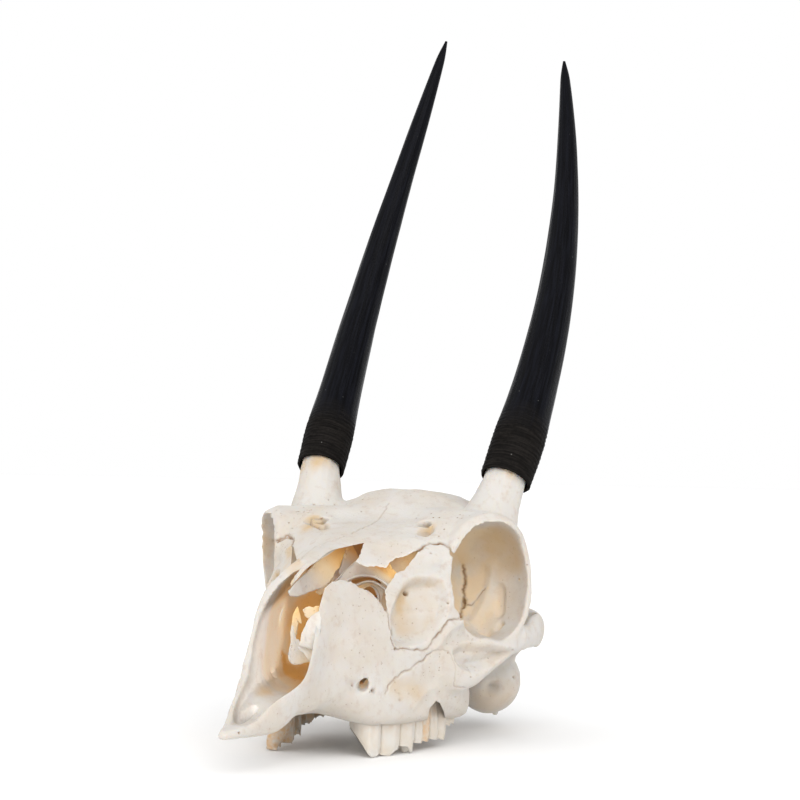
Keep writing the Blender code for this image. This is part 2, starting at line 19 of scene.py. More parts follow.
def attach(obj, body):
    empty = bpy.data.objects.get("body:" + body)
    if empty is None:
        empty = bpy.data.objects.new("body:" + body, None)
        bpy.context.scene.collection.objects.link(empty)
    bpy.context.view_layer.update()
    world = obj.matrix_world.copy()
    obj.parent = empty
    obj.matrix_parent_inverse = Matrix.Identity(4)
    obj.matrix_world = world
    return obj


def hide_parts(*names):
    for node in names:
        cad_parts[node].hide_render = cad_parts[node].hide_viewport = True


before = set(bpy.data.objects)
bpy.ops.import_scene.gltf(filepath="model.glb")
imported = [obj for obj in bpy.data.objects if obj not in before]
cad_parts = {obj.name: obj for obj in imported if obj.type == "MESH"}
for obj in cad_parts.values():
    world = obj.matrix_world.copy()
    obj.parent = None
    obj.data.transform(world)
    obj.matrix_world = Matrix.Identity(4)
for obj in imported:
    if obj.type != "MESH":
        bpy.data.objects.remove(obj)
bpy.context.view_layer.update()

bl_info = {
    "name": "Steenbok skull",
    "version": (1, 0, 0),
    "blender": (4, 5, 0),
    "location": "View3D > Sidebar > Skull",
    "description": "Builds a steenbok skull with its horns and teeth, and a white studio round it",
    "category": "Object",
}

MM = 0.001
ORIGIN_Y = -5.75
TOOTH_NAMES = ("premolar_2", "premolar_3", "premolar_4", "molar_1", "molar_2", "molar_3")

ORBIT_CENTRE = (29.0, -0.8, 41.8)
ORBIT_AXIS = (0.85, -0.52, 0.03)
ORBIT_RADII = (18.5, 13.4, 15.4)
ORBIT_WALL = 1.8
ORBIT_RIM = (
    (24.6, -12.8, 49.5), (27.6, -8.5, 53.6), (31.0, -4.5, 56.0), (34.0, 0.5, 56.6), (35.8, 4.0, 54.6),
    (36.7, 6.5, 50.6), (37.0, 8.0, 46.0), (37.0, 9.0, 41.0), (36.8, 9.0, 36.0), (36.0, 7.5, 31.6),
    (34.2, 4.0, 28.2), (31.4, 0.0, 26.8), (28.8, -4.0, 28.0), (26.8, -8.5, 30.2), (25.3, -12.0, 33.2),
    (24.6, -13.4, 38.0), (24.6, -13.4, 44.0),
)
RIM_THICKNESS = 1.3
BRAIN_CENTRE = (0, 26, 41.5)
BRAIN_RADII = (21.5, 27.5, 21.5)
BULLA_CENTRE = (14.6, 37.5, 13.2)
BULLA_RADII = (8.4, 10.0, 9.2)
GUM_Z = 8.2
CROWN_RINGS = 12
ROOT_RINGS = 8
RIB_HEIGHT = 0.22
GROOVE_DEPTH = 0.08
TOOTH_SEED = 60
SOCKET_TOP_Z = 13.2
SOCKET_GAP = 0.3

HORNS = {
    "left": ((26.7, 16.0, 66.8), (31.2, 45.8, 112.0), (27.2, 60.8, 140.0), (17.8, 77.6, 184.2)),
    "right": ((-26.3, 16.2, 68.8), (-30.3, 45.3, 109.0), (-27.2, 61.2, 142.6), (-18.3, 77.2, 191.4)),
}
HORN_FULLNESS = {"left": 1.0, "right": 0.945}
HORN_RADIUS = (
    (0.0, 6.65), (0.06, 6.85), (0.1, 6.7), (0.15, 6.25), (0.2, 5.9), (0.3, 5.4), (0.4, 4.85), (0.5, 4.4),
    (0.6, 3.85), (0.7, 3.25), (0.8, 2.7), (0.88, 2.1), (0.94, 1.55), (0.97, 1.15), (1.0, 0.35),
)
CORE_RADIUS = ((0.0, 5.5), (0.1, 5.1), (0.2, 4.5), (0.4, 3.1), (0.58, 1.5), (0.64, 0.7))
CORE_REACH = 0.64
CORE_FOOT = (24.6, 11.0, 55.5)

# Tooth name: (front y, back y, cheek-side x at the front and at the back, width, lobes, lowest z, wear slope)
TEETH = {
    "premolar_2": (-36.6, -31.8, 14.2, 15.4, 6.2, 1, 0.0, 1.2),
    "premolar_3": (-31.5, -25.9, 15.6, 17.9, 6.6, 1, 0.3, 0.5),
    "premolar_4": (-25.6, -20.3, 18.1, 19.3, 7.4, 1, 0.5, 0.5),
    "molar_1": (-20.0, -13.1, 19.4, 20.1, 8.2, 2, 2.0, 0.5),
    "molar_2": (-12.8, -5.0, 20.3, 21.0, 8.6, 2, 1.6, 0.5),
    "molar_3": (-4.7, 2.6, 20.9, 20.0, 8.0, 2, 5.0, 0.15),
}

# Tooth name: the crown's lower edge on the cheek side, as (share of the tooth's length, height)
CROWN_EDGES = {
    "premolar_2": ((0, 0.0), (0.5, 0.2), (1, 1.0)),
    "premolar_3": ((0, 0.3), (0.3, 0.0), (0.6, 1.0), (1, 1.9)),
    "premolar_4": ((0, 2.0), (0.35, 1.8), (0.6, 0.1), (0.72, 0.3), (0.85, 1.8), (1, 2.4)),
    "molar_1": ((0, 2.3), (0.25, 2.1), (0.5, 2.5), (0.75, 2.2), (1, 2.5)),
    "molar_2": ((0, 2.6), (0.25, 2.3), (0.5, 2.5), (0.75, 1.8), (1, 2.2)),
    "molar_3": ((0, 5.4), (0.25, 5.0), (0.5, 5.5), (0.75, 5.0), (1, 5.8)),
}
RIGHT_WEAR = 0.12
FIRST_TOOTH_Y = -36.6
FACE_RINGS = ((0.95, 0.0), (0.8, 0.35), (0.66, 0.4), (0.52, 0.05), (0.38, 0.1), (0.24, 0.6), (0.1, 0.7))

# The studio camera, in the skull's frame: where it looks from and at, in degrees and millimetres
VIEW_AZIMUTH = 24.07
VIEW_ELEVATION = -0.61
VIEW_ROLL = 1.13
VIEW_DISTANCE = 650.51
VIEW_FOCAL = 2537.5
VIEW_TARGET = (3.78, 0.0, 87.03)
VIEW_CENTRE = 400


# Points and curves

def place(points):
    """Skull-frame millimetres to model metres."""
    return (np.asarray(points, float) - (0.0, ORIGIN_Y, 0.0)) * MM


def unit(direction):
    """The same direction, one long."""
    direction = np.asarray(direction, float)
    return direction / np.linalg.norm(direction)


def turns_of(count):
    """This many angles, evenly round a circle."""
    return np.arange(count) * 2 * math.pi / count


def length_along(line):
    """How far along the line each of its points lies."""
    return np.concatenate([[0], np.cumsum(np.linalg.norm(np.diff(line, axis=0), axis=1))])


def through(points, per_span, closed=False):
    """A Catmull-Rom curve through the points, with per_span steps between each two."""
    pts = np.asarray(points, float)
    count = len(pts)
    out = []
    for i in range(count if closed else count - 1):
        if closed:
            a, b, c, d = (pts[(i + k) % count] for k in (-1, 0, 1, 2))
        else:
            b, c = pts[i], pts[i + 1]
            a = pts[i - 1] if i else 2 * b - c
            d = pts[i + 2] if i + 2 < count else 2 * c - b
        for t in np.arange(per_span) / per_span:
            square, cube = 2 * a - 5 * b + 4 * c - d, 3 * b - a - 3 * c + d
            out.append(0.5 * (2 * b + (c - a) * t + square * t**2 + cube * t**3))
    if not closed:
        out.append(pts[-1])
    return np.array(out)


def by_share(table, share):
    """The value at this share of a length, from a table of (share, value)."""
    shares, values = zip(*table)
    return float(np.interp(share, shares, values))


def bezier(points, t):
    """The place at t, from 0 to 1, on a cubic curve with four control points."""
    a, b, c, d = (np.asarray(p, float) for p in points)
    return (1 - t) ** 3 * a + 3 * t * (1 - t) ** 2 * b + 3 * t * t * (1 - t) * c + t**3 * d


def ease(value):
    """A smooth step from 0 to 1."""
    value = np.clip(value, 0.0, 1.0)
    return value * value * (3 - 2 * value)


def ripple(points, size, seed=0):
    """A smooth random field from -1 to 1 with features of about this size."""
    scaled = np.asarray(points, float) / size + 1000.0
    cell = np.floor(scaled).astype(np.int64)
    part = ease(scaled - cell)
    total = np.zeros(len(scaled))
    for corner in range(8):
        step = np.array((corner & 1, corner >> 1 & 1, corner >> 2 & 1))
        x, y, z = (cell + step).T
        mixed = (x * 73856093) ^ (y * 19349663) ^ (z * 83492791) ^ (seed * 2654435761)
        mixed = (mixed ^ (mixed >> 13)) * 1274126177 & 0xFFFFFFFF
        value = ((mixed ^ (mixed >> 16)) & 0xFFFF) / 32767.5 - 1
        share = np.prod(np.where(step, part, 1 - part), axis=1)
        total += value * share
    return total


def polyline_distance(points, line, closed=False):
    """Each point's distance to a polyline."""
    line = np.asarray(line, float)
    ends = np.roll(line, -1, axis=0) if closed else line[1:]
    starts = line if closed else line[:-1]
    best = np.full(len(points), np.inf)
    for a, b in zip(starts, ends):
        along = b - a
        share = np.clip((points - a) @ along / max(along @ along, 1e-9), 0, 1)
        gap = np.linalg.norm(points - a - share[:, None] * along, axis=1)
        best = np.minimum(best, gap)
    return best


def within(points, outline):
    """True for each 2-D point inside the outline."""
    x, y = points.T
    inside = np.zeros(len(points), bool)
    for (x0, y0), (x1, y1) in zip(outline, np.roll(outline, -1, axis=0)):
        if y0 == y1:
            continue
        crosses = ((y0 > y) != (y1 > y)) & (x < (x1 - x0) * (y - y0) / (y1 - y0) + x0)
        inside ^= crosses
    return inside


def notched(line, step, depth, seed):
    """A jagged version of an outline: points every `step`, thrown sideways by up to `depth`."""
    line = np.asarray(line, float)
    along = length_along(line)
    count = max(2, int(along[-1] / step))
    at = np.linspace(0, along[-1], count + 1)
    even = np.stack([np.interp(at, along, line[:, i]) for i in (0, 1)], axis=1)
    shift = np.random.default_rng(seed).uniform(-1, 1, (len(even), 2)) * depth
    shift[0] = shift[-1] = 0
    return even + shift


# The studio camera as numbers

def view_axes():
    """The camera's right, up and backward directions."""
    a, e, roll = (math.radians(v) for v in (VIEW_AZIMUTH, VIEW_ELEVATION, VIEW_ROLL))
    back = np.array((math.sin(a) * math.cos(e), -math.cos(a) * math.cos(e), math.sin(e)))
    level = np.array((math.cos(a), math.sin(a), 0.0))
    top = np.cross(back, level)
    right = math.cos(roll) * level + math.sin(roll) * top
    up = -math.sin(roll) * level + math.cos(roll) * top
    return right, up, back


def view_point():
    """Where the camera stands, in the skull's millimetres."""
    return np.array(VIEW_TARGET) + view_axes()[2] * VIEW_DISTANCE


def seen_at(points):
    """Where each point falls in the camera's frame, in pixels."""
    right, up, back = view_axes()
    away = np.asarray(points, float) - view_point()
    depth = -(away @ back)
    return np.stack([VIEW_CENTRE + VIEW_FOCAL * (away @ right) / depth,
                     VIEW_CENTRE - VIEW_FOCAL * (away @ up) / depth], axis=1)


def sight(px, py):
    """The unit direction from the camera through a pixel."""
    right, up, back = view_axes()
    return unit(right * (px - VIEW_CENTRE) / VIEW_FOCAL - up * (py - VIEW_CENTRE) / VIEW_FOCAL - back)


def on_plane(px, py, point, normal):
    """Where the sight line through a pixel meets a plane."""
    line = sight(px, py)
    start = view_point()
    normal = np.asarray(normal, float)
    return start + line * ((np.asarray(point, float) - start) @ normal / (line @ normal))


def on_bone(tree, pixels):
    """Points of a mesh under a polyline of pixels, with a point every pixel or so."""
    pixels = np.asarray(pixels, float)
    along = length_along(pixels)
    at = np.linspace(0, along[-1], max(2, int(along[-1]) + 1))
    start = Vector(view_point())
    found = []
    for px, py in zip(np.interp(at, along, pixels[:, 0]), np.interp(at, along, pixels[:, 1])):
        spot = tree.ray_cast(start, Vector(sight(px, py)))[0]
        if spot is not None:
            found.append(np.array(spot))
    return np.array(found)


# Closed bodies

def join_rings(shape, low, high):
    """A band of faces between two rings of equal count."""
    count = len(low)
    for i in range(count):
        j = (i + 1) % count
        shape.faces.new((low[i], low[j], high[j], high[i]))


def skin(shape, rings, closed=True):
    """Adds a body from rings of equal count, closed by a fan at each end."""
    loops = [[shape.verts.new(p) for p in ring] for ring in rings]
    count = len(loops[0])
    for low, high in zip(loops, loops[1:]):
        join_rings(shape, low, high)
    for loop, turn in ((loops[0], -1), (loops[-1], 1)) if closed else ():
        middle = shape.verts.new(sum((v.co for v in loop), Vector()) / count)
        for i in range(count):
            shape.faces.new((loop[i], loop[(i + 1) % count], middle)[::turn])
    return loops


def loft(shape, stations, around=56, per_span=6):
    """A body lofted along Y. Each station is (y, half outline) from the lower midline to the upper one."""
    rings = []
    for y, half in stations:
        whole = list(half) + [(-x, z) for x, z in half[-2:0:-1]]
        dense = through(whole, 12, closed=True)
        closed = np.vstack([dense, dense[:1]])
        along = length_along(closed)
        wanted = np.linspace(0, along[-1], around, endpoint=False)
        across, height = (np.interp(wanted, along, closed[:, i]) for i in (0, 1))
        rings.append([(x, y, z) for x, z in zip(across, height)])
    skin(shape, through(np.array(rings).reshape(len(rings), -1), per_span).reshape(-1, around, 3))


def sweep(shape, path, sizes, around=20, per_span=8, up=(0, 0, 1)):
    """A tube along the path. Each size is (half width, half height), the height along `up`."""
    line = through(path, per_span)
    size = through(sizes, per_span)
    turns = turns_of(around)
    rings = []
    for i, centre in enumerate(line):
        ahead = unit(line[min(i + 1, len(line) - 1)] - line[max(i - 1, 0)])
        side = unit(np.cross(ahead, up))
        top = np.cross(side, ahead)
        wide, tall = size[i]
        rings.append([centre + wide * math.cos(a) * side + tall * math.sin(a) * top for a in turns])
    skin(shape, rings)


def turned_axes(axis):
    """Three square directions, the first of them along the axis."""
    along = unit(axis)
    side = unit(np.cross((0, 0, 1), along))
    return along, side, np.cross(along, side)


def ellipsoid(shape, centre, radii, axis=(1, 0, 0), detail=4):
    """An ellipsoid whose first radius lies along the axis."""
    matrix = np.eye(4)
    for column, (direction, radius) in enumerate(zip(turned_axes(axis), radii)):
        matrix[:3, column] = direction * radius
    matrix[:3, 3] = centre
    bmesh.ops.create_icosphere(shape, subdivisions=detail, radius=1.0, matrix=Matrix(matrix))


def both_sides(build, shape):
    """Builds a left-hand body and its mirror image."""
    for side in (1, -1):
        part = bmesh.new()
        build(part)
        if side < 0:
            bmesh.ops.scale(part, vec=(-1, 1, 1), verts=part.verts)
            bmesh.ops.reverse_faces(part, faces=part.faces)
        bmesh.ops.recalc_face_normals(part, faces=part.faces)
        copy = bpy.data.meshes.new("half")
        part.to_mesh(copy)
        part.free()
        shape.from_mesh(copy)
        bpy.data.meshes.remove(copy)


def between(shape, loops):
    """Closes the space between two flat outlines of equal count."""
    join_rings(shape, *loops)
    shape.faces.new(loops[0][::-1])
    shape.faces.new(loops[1])


def prism(shape, plan, low, high):
    """An upright body with this plan, from the low level to the high one."""
    between(shape, [[shape.verts.new((x, y, z)) for x, y in plan] for z in (low, high)])


def sight_wedge(shape, pixels, near_x, far_x):
    """What the camera sees inside an outline of pixels, between two upright planes along the skull."""
    loops = []
    for x in (near_x, far_x):
        loops.append([shape.verts.new(on_plane(px, py, (x, 0, 0), (1, 0, 0))) for px, py in pixels])
    between(shape, loops)


# Objects

def split_edges(shape, edges):
    """Halves these edges and keeps every face a triangle."""
    bmesh.ops.subdivide_edges(shape, edges=edges, cuts=1)
    bmesh.ops.triangulate(shape, faces=[f for f in shape.faces if len(f.verts) > 3])


def object_from(shape, name):
    """A mesh object, still in millimetres, from a bmesh."""
    bmesh.ops.recalc_face_normals(shape, faces=shape.faces)
    mesh = bpy.data.meshes.new(name)
    shape.to_mesh(mesh)
    shape.free()
    obj = bpy.data.objects.new(name, mesh)
    bpy.context.scene.collection.objects.link(obj)
    return obj


def applied(obj):
    """Turns an object's modifiers into plain mesh."""
    graph = bpy.context.evaluated_depsgraph_get()
    made = bpy.data.meshes.new_from_object(obj.evaluated_get(graph))
    old = obj.data
    obj.modifiers.clear()
    obj.data = made
    bpy.data.meshes.remove(old)
    return obj


def remesh(obj, voxel, rounds):
    """Fuses overlapping bodies into one even mesh and softens it."""
    fuse = obj.modifiers.new("Fuse", "REMESH")
    fuse.mode = "VOXEL"
    fuse.voxel_size = voxel
    soften = obj.modifiers.new("Soften", "SMOOTH")
    soften.factor = 0.5
    soften.iterations = rounds
    return applied(obj)


def thin(obj, kept):
    """Fewer triangles, mostly where the surface is plain."""
    mesh = obj.data
    mesh.calc_loop_triangles()
    count = len(mesh.loop_triangles)
    if count <= kept:
        return
    fewer = obj.modifiers.new("Fewer", "DECIMATE")
    fewer.ratio = kept / count
    applied(obj)


def cut(obj, builds):
    """Takes the bodies that these functions build out of the object, one after the other."""
    for build in builds:
        shape = bmesh.new()
        build(shape)
        tool = object_from(shape, "tool")
        step = obj.modifiers.new("Cut", "BOOLEAN")
        step.operation = "DIFFERENCE"
        step.solver = "MANIFOLD"
        step.object = tool
        applied(obj)
        bpy.data.objects.remove(tool)


def points_of(mesh):
    """Where every vertex is, one row each."""
    flat = np.empty(len(mesh.vertices) * 3)
    mesh.vertices.foreach_get("co", flat)
    return flat.reshape(-1, 3)


def normals_of(mesh):
    """Which way the surface faces at every vertex."""
    flat = np.empty(len(mesh.vertices) * 3)
    mesh.vertex_normals.foreach_get("vector", flat)
    return flat.reshape(-1, 3)


def move_points(mesh, points):
    """Puts every vertex where its row says."""
    mesh.vertices.foreach_set("co", np.asarray(points, float).ravel())
    mesh.update()


def paint(mesh, name, values):
    """Stores one number per vertex for the material to read."""
    layer = mesh.attributes.get(name) or mesh.attributes.new(name, "FLOAT", "POINT")
    layer.data.foreach_set("value", np.asarray(values, np.float32))


def tree_of(obj):
    """The object's surface, ready for rays and for the nearest place on it."""
    return BVHTree.FromObject(obj, bpy.context.evaluated_depsgraph_get())


def finish_piece(obj, material, nodes):
    """Moves a piece from millimetres to metres, gives it its material and ties it to the part."""
    mesh = obj.data
    move_points(mesh, place(points_of(mesh)))
    mesh.materials.clear()
    mesh.materials.append(material)
    mesh.shade_smooth()
    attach(obj, "root")
    if nodes:
        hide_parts(*nodes)
    return obj


# The bone's main bodies

def face_and_snout(shape):
    """Premaxillae, maxillae, nasal bones and the cheeks, back to the orbits."""
    stations = (
        (-89.5, ((0, 8.4), (0.9, 8.5), (1.3, 9.3), (0.9, 10.2), (0, 10.4))),
        (-86.0, ((0, 8.3), (2.0, 8.4), (2.7, 9.6), (2.1, 11.2), (0, 11.6))),
        (-80.0, ((0, 8.4), (3.4, 8.5), (4.3, 10.4), (3.7, 12.8), (0, 13.8))),
        (-75.0, ((0, 8.6), (4.5, 8.7), (5.6, 11.2), (5.0, 15.2), (0, 17.0))),
        (-70.0, ((0, 9.2), (5.6, 9.3), (6.9, 12.8), (6.6, 18.2), (0, 21.0))),
        (-66.0, ((0, 10.6), (6.3, 10.8), (8.0, 15.0), (8.0, 21.6), (0, 26.0))),
        (-62.0, ((0, 12.2), (7.0, 12.5), (9.1, 18.0), (9.4, 27.5), (0, 35.0))),
        (-57.0, ((0, 12.6), (7.8, 12.8), (9.7, 19.5), (9.4, 32.0), (0, 41.5))),
        (-52.0, ((0, 12.8), (8.8, 13.6), (10.6, 20.5), (9.2, 38.0), (0, 45.4))),
        (-46.0, ((0, 11.8), (10.4, 12.4), (12.4, 20.0), (10.4, 38.6), (0, 47.8))),
        (-38.0, ((0, 10.2), (14.4, 8.6), (16.2, 17.0), (13.4, 38.0), (0, 49.8))),
        (-30.0, ((0, 9.6), (17.9, 8.0), (19.6, 17.0), (16.8, 38.0), (0, 51.6))),
        (-22.0, ((0, 9.4), (20.2, 7.8), (22.4, 18.0), (19.6, 42.0), (0, 53.6))),
        (-14.0, ((0, 9.4), (21.2, 7.8), (25.4, 20.0), (24.6, 42.0), (0, 54.8))),
        (-7.0, ((0, 9.6), (21.8, 7.4), (25.6, 18.0), (22.0, 38.0), (0, 53.0))),
        (1.0, ((0, 10.0), (21.2, 6.8), (23.6, 15.0), (16.0, 33.0), (0, 50.0))),
        (7.0, ((0, 13.0), (18.0, 8.6), (20.0, 13.0), (10.0, 30.0), (0, 44.0))),
    )
    loft(shape, stations)


def brow(shape):
    """The frontal bones: a roof over both orbits that rises to the crown between the horns."""
    stations = (
        (-24.0, ((0, 48.6), (8.0, 47.4), (11.0, 48.6), (8.0, 50.6), (0, 53.2))),
        (-18.0, ((0, 47.5), (16.0, 44.5), (20.0, 46.4), (15.0, 51.0), (0, 54.2))),
        (-11.0, ((0, 46.5), (20.0, 46.5), (25.6, 49.6), (18.0, 53.6), (0, 55.2))),
        (-5.0, ((0, 46.5), (24.0, 50.0), (31.4, 54.0), (23.0, 57.0), (0, 56.0))),
        (1.0, ((0, 46.5), (28.0, 51.4), (34.8, 55.2), (26.0, 59.0), (0, 59.0))),
        (7.0, ((0, 46.5), (29.0, 50.6), (36.4, 53.4), (28.0, 58.2), (17.0, 58.6), (8.0, 61.2), (0, 62.0))),
        (12.0, ((0, 46.5), (27.0, 49.0), (34.0, 52.4), (27.0, 58.0), (17.4, 59.8), (9.5, 63.0), (0, 64.0))),
        (17.0, ((0, 46.5), (22.0, 48.0), (28.0, 51.6), (22.0, 58.0), (16.6, 60.6), (8.5, 63.2), (0, 63.8))),
        (23.0, ((0, 46.5), (14.0, 48.0), (20.0, 52.0), (18.6, 58.6), (13.4, 61.6), (7.0, 63.0), (0, 63.4))),
    )
    loft(shape, stations)


def braincase(shape):
    """Brain case, occipital plate and skull base."""
    ellipsoid(shape, BRAIN_CENTRE, BRAIN_RADII, detail=5)
    stations = (
        (6.0, ((0, 21.0), (5.0, 21.0), (8.5, 30.0), (9.0, 42.0), (0, 50.0))),
        (18.0, ((0, 18.0), (6.0, 18.5), (13.0, 28.0), (16.0, 40.0), (0, 52.0))),
        (32.0, ((0, 15.0), (8.0, 15.5), (20.0, 24.0), (21.0, 36.0), (0, 52.0))),
        (44.0, ((0, 15.5), (9.0, 16.0), (20.5, 24.0), (20.5, 38.0), (0, 50.0))),
        (51.0, ((0, 17.0), (8.0, 17.0), (14.0, 25.0), (13.0, 38.0), (0, 45.0))),
    )
    loft(shape, stations)


def orbit_shell(shape):
    """The thin bowl of bone round the eye, cut level with its rim."""
    ellipsoid(shape, ORBIT_CENTRE, tuple(r + ORBIT_WALL for r in ORBIT_RADII), ORBIT_AXIS, detail=5)
    open_end = bmesh.ops.bisect_plane(
        shape,
        geom=shape.verts[:] + shape.edges[:] + shape.faces[:],
        plane_co=np.mean(ORBIT_RIM, axis=0),
        plane_no=ORBIT_AXIS,
        clear_outer=True,
    )
    rim_edges = [e for e in open_end["geom_cut"] if isinstance(e, bmesh.types.BMEdge)]
    bmesh.ops.edgeloop_fill(shape, edges=rim_edges)


def orbit_rim(shape):
    """A raised ring round the eye, widest behind, where it is the bar between brow and cheek."""
    line = through(ORBIT_RIM, 6, closed=True)
    middle = np.mean(ORBIT_RIM, axis=0)
    turns = turns_of(14)
    wide = RIM_THICKNESS
    rings = []
    for i, centre in enumerate(line):
        ahead = unit(line[(i + 1) % len(line)] - line[i - 1])
        out = centre - middle
        out = unit(out - ahead * np.dot(out, ahead))
        inward = np.cross(out, ahead)
        behind = max(0.0, (centre[1] - middle[1]) / 12)
        centre = centre - np.array(ORBIT_AXIS) * (1.0 + 1.6 * behind)
        deep = RIM_THICKNESS * (1.1 + 1.4 * behind)
        rings.append([centre + wide * math.cos(a) * out + deep * math.sin(a) * inward for a in turns])
    loops = skin(shape, rings, closed=False)
    join_rings(shape, loops[-1], loops[0])


def half_head(shape):
    """Everything that the head has twice: orbit, cheek bone, arch, bulla, condyle and crests."""
    orbit_shell(shape)
    orbit_rim(shape)
    sweep(  # cheek bone below the eye
        shape,
        ((22.0, -18.0, 21.6), (26.0, -11.0, 21.2), (30.0, -3.0, 23.2), (33.4, 5.0, 26.0), (35.0, 12.0, 27.0)),
        ((3.0, 7.0), (3.4, 6.6), (2.8, 4.8), (2.2, 3.4), (1.9, 3.0)),
    )
    sweep(  # zygomatic arch
        shape,
        ((34.8, 8.0, 27.4), (34.6, 14.0, 27.2), (34.0, 20.0, 28.0),
         (32.2, 26.0, 27.8), (28.0, 33.0, 28.0), (20.0, 37.0, 29.0)),
        ((2.0, 3.2), (1.8, 3.2), (2.0, 4.2), (2.3, 4.6), (3.4, 4.6), (5.0, 4.8)),
    )
    ellipsoid(shape, BULLA_CENTRE, BULLA_RADII)
    sweep(  # ear tube, from the bulla up and out to the side
        shape,
        ((16.0, 38.0, 15.0), (20.0, 37.0, 21.0), (23.4, 35.6, 24.0)),
        ((3.2, 3.2), (2.8, 2.8), (2.6, 2.6)),
    )
    sweep(  # process behind the bulla, one of the feet the skull stands on
        shape,
        ((15.6, 44.0, 24.0), (14.6, 46.6, 12.0), (12.8, 47.8, 2.0), (12.4, 48.0, -3.0)),
        ((5.0, 4.0), (3.2, 2.5), (1.4, 1.3), (1.0, 0.9)),
        up=(0, 1, 0),
    )
    ellipsoid(shape, (7.4, 52.0, 19.0), (4.4, 6.0, 6.4))  # condyle
    sweep(  # nuchal crest
        shape,
        ((0.0, 50.5, 48.5), (9.0, 49.6, 46.5), (17.5, 46.0, 40.0), (21.5, 42.0, 30.0)),
        ((1.8, 2.0), (1.8, 2.0), (1.8, 2.0), (2.2, 2.2)),
    )
    sweep(  # pterygoid plate beside the choana
        shape,
        ((8.0, 1.0, 14.0), (6.4, 9.0, 13.0), (5.6, 17.0, 15.0), (6.0, 25.0, 18.0)),
        ((1.2, 5.0), (1.0, 6.0), (1.0, 6.0), (1.8, 5.0)),
    )


def core_foot(side):
    """Where a horn core starts, inside the brow."""
    return np.array(CORE_FOOT) * ((1 if side == "left" else -1), 1, 1)


def horn_core(shape, side):
    """A bony core, from inside the brow up into the sheath."""
    curve = HORNS[side]
    shares = (0.0, 0.05, 0.1, 0.15, 0.2)
    inside = [bezier(curve, t) for t in shares]
    foot = core_foot(side)
    waist = foot + (np.asarray(curve[0]) - foot) * 0.55
    radii = [(7.6, 7.0), (6.1, 5.9)] + [(by_share(CORE_RADIUS, t) * HORN_FULLNESS[side],) * 2 for t in shares]
    sweep(shape, [foot, waist] + inside, radii, around=48, up=(0, -1, 0))


# What is hollowed out of the bone

def nasal_cavity(shape):
    """The hollow of the nose, open at the front above the premaxillae."""
    stations = (
        (-83.0, ((0, 10.6), (1.6, 10.8), (2.2, 12.0), (1.8, 20.0), (0, 22.0))),
        (-79.0, ((0, 10.8), (2.4, 11.0), (2.9, 13.0), (2.6, 24.0), (0, 26.0))),
        (-75.0, ((0, 11.2), (3.4, 11.8), (4.2, 14.0), (3.8, 28.0), (0, 30.0))),
        (-70.0, ((0, 12.0), (4.4, 13.0), (5.4, 16.0), (5.2, 30.0), (0, 34.0))),
        (-66.0, ((0, 13.2), (5.0, 14.4), (6.5, 18.0), (6.6, 32.0), (0, 38.0))),
        (-62.0, ((0, 14.6), (5.8, 16.0), (7.6, 21.0), (7.9, 34.0), (0, 42.0))),
        (-57.0, ((0, 15.2), (6.4, 17.0), (8.2, 23.0), (7.9, 34.0), (0, 40.0))),
        (-52.0, ((0, 15.4), (7.2, 17.0), (9.1, 24.0), (7.7, 37.0), (0, 43.6))),
        (-46.0, ((0, 15.0), (8.6, 17.0), (10.8, 24.0), (8.8, 37.4), (0, 45.8))),
        (-38.0, ((0, 14.6), (10.6, 17.0), (13.4, 25.0), (11.6, 37.0), (0, 47.8))),
        (-28.0, ((0, 14.6), (11.4, 17.4), (14.4, 26.0), (13.0, 38.5), (0, 50.0))),
        (-18.0, ((0, 15.0), (10.0, 18.0), (12.4, 27.0), (11.6, 40.0), (0, 51.8))),
        (-10.0, ((0, 16.0), (6.0, 18.0), (7.4, 27.0), (7.6, 38.0), (0, 49.0))),
        (-5.0, ((0, 20.0), (3.0, 21.0), (4.0, 27.0), (3.4, 33.0), (0, 42.0))),
    )
    loft(shape, stations, around=40, per_span=4)


def nostril_notch(shape):
    """Cuts the side walls down to the long slope from the nasal bone to the front tip."""
    profile = (
        (-42.0, 60.0), (-44.5, 49.0), (-47.5, 45.0), (-50.0, 41.5), (-52.0, 38.5), (-54.6, 34.6),
        (-57.2, 29.4), (-59.6, 25.0), (-63.0, 20.8), (-66.3, 18.8), (-70.0, 16.9), (-75.0, 14.3),
        (-79.0, 12.4), (-82.5, 11.2), (-88.0, 10.6), (-95.0, 10.6), (-95.0, 60.0),
    )
    right_side, left_side = (-30, 1, 0.0), (1, 30, 3.5)
    for low, high, forward in (right_side, left_side):
        moved = [(y - forward * float(ease((y + 78) / 12)), z) for y, z in profile]
        between(shape, [[shape.verts.new((x, y, z)) for y, z in moved] for x in (low, high)])


def eye_hollow(shape):
    """The inside of the orbit."""
    ellipsoid(shape, ORBIT_CENTRE, ORBIT_RADII, ORBIT_AXIS, detail=5)


def eye_mouth(shape):
    """Opens the orbit outward."""
    ellipsoid(shape, np.array(ORBIT_CENTRE) + unit(ORBIT_AXIS) * 14.0, (14.0, 12.4, 14.0), ORBIT_AXIS)


def temporal_gap(shape):
    """The gap behind the orbit, between the arch and the brain case."""
    ellipsoid(shape, (27.4, 24.0, 33.0), (5.0, 7.4, 22.0))


def brow_hollow(shape):
    """Thins the frontal bones over the back of the nose."""
    ellipsoid(shape, (0.0, -17.0, 45.4), (15.0, 11.5, 7.0))


def brain_mouth(shape):
    """The dark start of the brain case, as far as it can be seen through the foramen magnum."""
    ellipsoid(shape, (0, 36, 33), (12, 12, 12), detail=3)


def foramen_magnum(shape):
    """The way from the brain case out to the back."""
    sweep(shape, ((0, 38, 30), (0, 48, 26.5), (0, 60, 23.0)), ((6.2, 5.4), (5.8, 5.4), (6.2, 5.8)))


